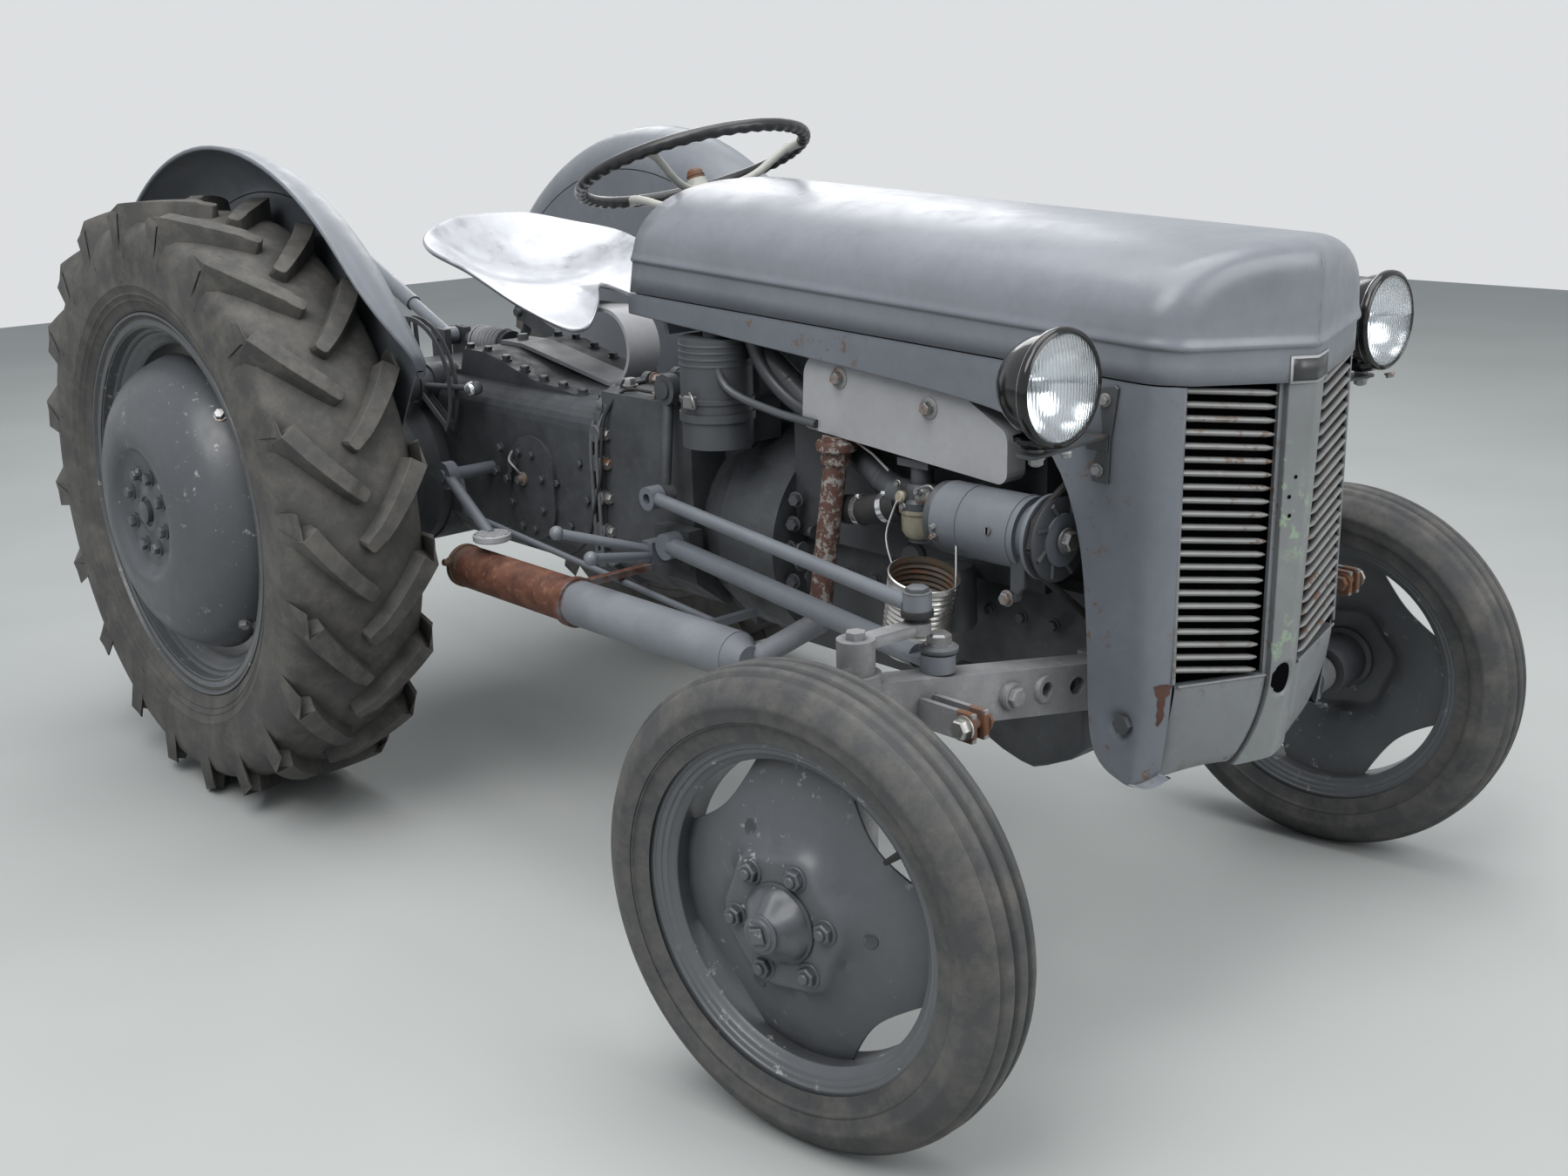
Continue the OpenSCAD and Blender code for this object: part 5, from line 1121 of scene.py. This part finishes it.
    # Downpipe flange and clamp, and the silencer's collar
    form.plug((1382, -209, 834), (0, 0, -1), "exhaust_pipe", 32, (31, -4), (33, 0), (33, 10), (30, 13))
    form.lathe([(39.5, 0), (42.4, 1), (42.4, 12), (39.5, 13), (37.5, 30), (37.5, 0)], "rust",
        aim((488, -360, 497), AHEAD), 48)
    form.bolt((498, -402, 512), (0, -1, 0.2), "rust", 13, 12)
    # Studs of the block, its drain plug and the oil filter
    for x in range(1330, 1790, 62):
        form.bolt((x, -133, 596), OUT, "inside", 15, 9)
        form.bolt((x + 20, -133, 868), OUT, "inside", 17, 9)
    form.plug((1480, -132, 650), OUT, "dark", 24, (22, 0), (24, 4), (20, 12))
    form.plug((1600, -176, 570), UP, "dark", 32, (34, 0), (38, 8), (36, 92), (30, 98))
    form.done("root", smooth=36)


def tin_can():
    """Ribbed can that hangs on a wire below the carburettor."""
    form = Form("hanging_can")
    foot, top = Vector((1622, -288, 566)), Vector((1655, -298, 690))
    f = aim(foot, top - foot)
    tall = (top - foot).length
    out = [(0, 0), (46, 0), (47, 2)]
    for t in (i / 54 for i in range(55)):
        rib = 1.3 * sin(2 * pi * t * 13) if 0.05 < t < 0.95 else 0
        out.append((47.5 + 4.5 * t + rib, 6 + (tall - 14) * t))
    out += [(53.5, tall - 4), (54, tall - 1), (52, tall)]
    inside = [(r - 1.6, h + 1) for r, h in out[::-1][2:-2]] + [(0, 3)]
    form.lathe(out, "tin", f, 56)
    form.lathe([(52, tall)] + inside, "tin_inside", f, 56)
    for a, top_end in ((121, (1530, -222, 772)), (-59, (1684, -262, 748))):
        p = f @ Vector(polar(53, a, tall - 8))
        mid = (p + Vector(top_end)) / 2 + Vector((-12 if a > 0 else 8, -8, -6))
        form.tube(rounded([p, mid, top_end], 6), 1.5, "chrome", 6)
    form.done("root", smooth=40)


def gearbox_details():
    form = Form("housing_fittings")
    # Oval cover's bolts and dipstick
    for k in range(8):
        a = radians(22 + 45 * k)
        form.bolt((465 + 58 * cos(a), -188, 612 + 82 * sin(a)), OUT, "dark", 13, 7)
    form.tube(rounded([(424, -192, 687), (432, -206, 672), (446, -200, 655), (450, -190, 640)], 4), 3, "bolt", 8)
    form.plug((452, -188, 634), OUT, "bolt", 20, (14, 0), (14, 5), (8, 8), (8, 16))
    # Flange between the two housings: lobes with bolts
    for z in (520, 575, 640, 706, 762):
        form.plug((722, -196, z), OUT, "cast_light", 24, (17, -10), (17, 6), (15, 8))
        form.bolt((742, -190, z), AHEAD, "bolt", 17, 11)
    arch = rounded([(-202, 520), (-203, 640), (-203, 740), (-190, 790), (-158, 832), (-120, 846), (0, 848), (120, 846),
        (158, 832)], 5)
    for x, r in ((711, 4.5), (729, 4.5)):
        form.tube([(x, p.x, p.y) for p in arch], r, "cast_light", 10)
    for y, z in ((-176, 818), (-130, 850), (-70, 854), (0, 854), (70, 854), (130, 850)):
        form.bolt((742, y, z - 4), AHEAD, "bolt", 18, 12)
        form.plug((718, y, z - 6), AHEAD, "cast_light", 20, (15, 0), (15, 16))
    # Bolts on the gearbox top and on the lift cover
    for x, y in ((772, -150), (880, -166), (772, 150), (880, 166), (800, -60), (800, 60), (872, -100)):
        form.bolt((x, y, 852 if abs(y) >= 150 else 842), UP, "bolt", 20, 14, turn=x)
    cover_top = [(0, 862), (250, 862), (420, 822), (600, 806), (700, 806)]
    for x in range(170, 700, 66):
        for y in (-112, 112):
            form.bolt((x, y, between(cover_top, x)), (0.1, 0, 1), "dark", 17, 10, turn=x)
    for x, z in ((520, 590), (560, 640), (600, 560), (640, 690), (660, 620)):
        form.bolt((x, -181, z), OUT, "dark", 14, 6, washer=False)
    for x, z in ((1172, 662), (1160, 618), (1168, 560), (1180, 706)):
        form.bolt((x + 40, -150, z), (0.3, -1, 0), "dark", 19, 12)
    for k in range(5):
        a = radians(150 + 22 * k)
        form.bolt((1252, 172 * cos(a), 612 - 172 * sin(a) * 0.4), (-1, 0, 0), "dark", 17, 10)
    # Thin black cable along the joint
    form.tube(rounded([(941, -160, 850), (860, -172, 852), (790, -178, 848), (752, -196, 800), (747, -206, 740),
        (742, -206, 690), (716, -206, 620), (690, -203, 560), (640, -200, 520), (580, -198, 500)], 6), 3, "hose", 8)
    # Coil spring and control parts over the lift cover
    coil = [(44 + 96 * i / 112, 30 * cos(2 * pi * i / 16), 852 + 30 * sin(2 * pi * i / 16)) for i in range(113)]
    form.tube(coil, 6.5, "cover", 8)
    form.plug((32, 0, 852), AHEAD, "cover", 32, (34, 0), (36, 4), (36, 10))
    form.lathe([(0, 0), (15, 0), (15, 2), (13, 8), (8, 13), (0, 15)], "chrome", aim((325, -214, 805), OUT), 28)
    form.plug((100, -214, 790), OUT, "cast", 28, (24, 0), (26, 5), (26, 22), (22, 26))
    for z in (770, 812):
        form.bolt((100, -240, z - 1), OUT, "bolt", 14, 8)
    # Chequered pads of the pedals, and the right pad's rim
    for s in (1, -1):
        for i in range(-4, 5):
            for j in range(-4, 5):
                if i * i + j * j <= 18:
                    x, y = 577 + i * 7.2, (-350 + j * 7.2) * s
                    form.box(x - 2.4, x + 2.4, y - 2.4, y + 2.4, 571.5, 574.2, "cover", 0.8)
    form.lathe([(34, 560), (36.5, 562), (36.5, 572), (34, 574), (33, 572.5)], "cover", aim((577, -350, 0), UP), 40)
    for x, z in ((390, 690), (372, 640), (410, 630), (430, 660)):
        form.bolt((x, -196, z), OUT, "dark", 15, 9)
    form.bolt((1124, -262, 489), OUT, "bolt", 12, 6)
    form.done("root", smooth=36)


BALLS = (("right", 1121.9, -450), ("left", 1151.6, 456.1))


def link_caps():
    """Nut, cap and dark rubber ring on each drag link's front ball."""
    for side, x, y in BALLS:
        form = Form(f"link_cap_{side}", Matrix.Translation((x * MM, y * MM, 0.6856)) @ Matrix.Scale(MM, 4))
        form.lathe([(19.5, 1), (22, 2), (22.8, 6), (22, 11), (19.5, 12)], "hose", n=32)
        form.lathe([(20, 32), (18, 36), (0, 36)], "cast_light", n=32)
        form.bolt((0, 0, 35), UP, "cast_light", 28, 9, turn=12)
        form.done(f"drag_{side}", smooth=36)


def sump():
    """The dark casting whose foot shows below the front axle."""
    form = Form("engine_sump")
    outline = [(1500, 474), (1500, 374), (1568, 346), (1602, 332), (1640, 322), (1666, 319), (1692, 329), (1740, 352),
        (1772, 380), (1772, 474)]
    form.slab(outline, side_plane(), -62, 62, "cast", 6)
    form.done("root", smooth=30, bevel=3)


def axle_details():
    form = Form("axle_fittings")
    for mirror in SIDES.values():
        form.here = mirror
        for x, y, z in ((1850, -262, 552), (1851, -206, 545)):
            f = aim((x, y, z), AHEAD)
            form.lathe([(10, -8), (10, 7), (11, 8.5), (19, 8.5), (21, 7), (25, -4)], "axle", f, 36)
            # Painted shadow: a black disc closes each bush's bore
            form.lathe([(0, -6), (10.2, -6)], "shadow_fill", f, 24)
        form.bolt((1851, -326, 556), AHEAD, "axle", 26, 11)
        form.plug((1849, -326, 556), AHEAD, "axle", 28, (20, -9), (20, 1), (18, 2))
        # Clevis pin with nuts, and rusty faces of its plates
        form.tube([(1900, -440, 566), (1900, -492, 566)], 7, "rust", 14)
        form.bolt((1900, -484, 566), OUT, "tin", 24, 14)
        form.bolt((1900, -446, 566), (0, 1, 0), "rust", 22, 10)
        for y0, y1 in ((-481, -471), (-457, -447)):
            form.slab([(1884, 544), (1909, 544), (1913, 552), (1913, 578), (1907, 586), (1884, 586)], side_plane(), y0,
                y1, "rust", 1.5)
        # Radius rod's boss
        form.plug((1797, -420, 634), UP, "cast_light", 32, (26, 0), (27, 2), (27, 6), (22, 10))
        form.bolt((1797, -420, 642), UP, "bolt", 30, 18, turn=10)
    form.done("root", smooth=36)


seat()
hand_wheel()
engine_details()
tin_can()
gearbox_details()
axle_details()
sump()
link_caps()


# ---------------------------------------------------------------- light, floor and camera
def add_world():
    """Two even skies: a dim one lights the scene, a bright one shows in the picture and in reflections."""
    world = bpy.data.worlds.new("studio_world")
    scene.world = world
    k = Nodes(world)
    dim, bright = (k.node("Background", {"Color": colour, "Strength": strength}).outputs[0]
        for colour, strength in (((0.86, 0.93, 1), 0.5), ((0.93, 0.95, 0.97), 0.78)))
    ray = k.node("LightPath").outputs
    seen = k.calc("MAXIMUM", ray["Is Camera Ray"], ray["Is Glossy Ray"])
    seen = k.calc("MAXIMUM", seen, ray["Is Transmission Ray"])
    k.node("OutputWorld", {"Surface": k.node("MixShader", {0: seen, 1: dim, 2: bright}).outputs[0]})


def add_area(name, place, target, size, power):
    data = bpy.data.lights.new(name, "AREA")
    data.shape, data.size, data.energy = "DISK", size, power
    lamp = bpy.data.objects.new(name, data)
    lamp.location = place
    lamp.rotation_euler = (Vector(target) - Vector(place)).to_track_quat("-Z", "Y").to_euler()
    scene.collection.objects.link(lamp)


def add_floor():
    mesh = bpy.data.meshes.new("floor")
    mesh.from_pydata([(-9, -9, 0), (9, -9, 0), (9, 9, 0), (-9, 9, 0)], [], [(0, 1, 2, 3)])
    floor = bpy.data.objects.new("floor", mesh)
    scene.collection.objects.link(floor)
    k = Look("floor_grey", rough=0.85, spec=0.2)
    k.colour(k.mix(k.patches(1.2, 3, 0.5, 0.3, 0.7), (0.37, 0.38, 0.37), (0.4, 0.41, 0.4)))
    mesh.materials.append(k.mat)


def add_camera():
    """The photograph's camera, solved from the wheels, rims and bonnet."""
    place, yaw, pitch, roll, focal = (3322.63, -2068.61, 1380.81), 48.12, 16.26, -1.52, 1984.24
    a, e, r = (radians(v) for v in (yaw, pitch, roll))
    back = Vector((sin(a) * cos(e), -cos(a) * cos(e), sin(e)))
    right = (-back).cross(Vector(UP)).normalized()
    up = right.cross(-back)
    right, up = right * cos(r) + up * sin(r), up * cos(r) - right * sin(r)
    data = bpy.data.cameras.new("photo_camera")
    data.sensor_fit = "HORIZONTAL"
    data.sensor_width = 36
    data.lens = focal * 36 / 1800
    data.clip_end = 60
    camera = bpy.data.objects.new("photo_camera", data)
    turn = Matrix((right, up, back)).transposed().to_4x4()
    camera.matrix_world = Matrix.Translation(at(*place)) @ turn
    scene.collection.objects.link(camera)
    scene.camera = camera


add_world()
add_area("key", (1.5, -3.5, 5), (0.2, 0, 0.6), 4, 225)
add_area("sky", (0.4, 0.2, 5.5), (0.4, 0, 0), 5, 200)
add_area("front_fill", (5, 1, 3), (0.6, 0, 0.6), 3.5, 115)
add_area("back_fill", (-4, 3.5, 3.5), (-0.3, 0, 0.6), 3.5, 80)
add_floor()
add_camera()
scene.view_settings.view_transform = "Standard"
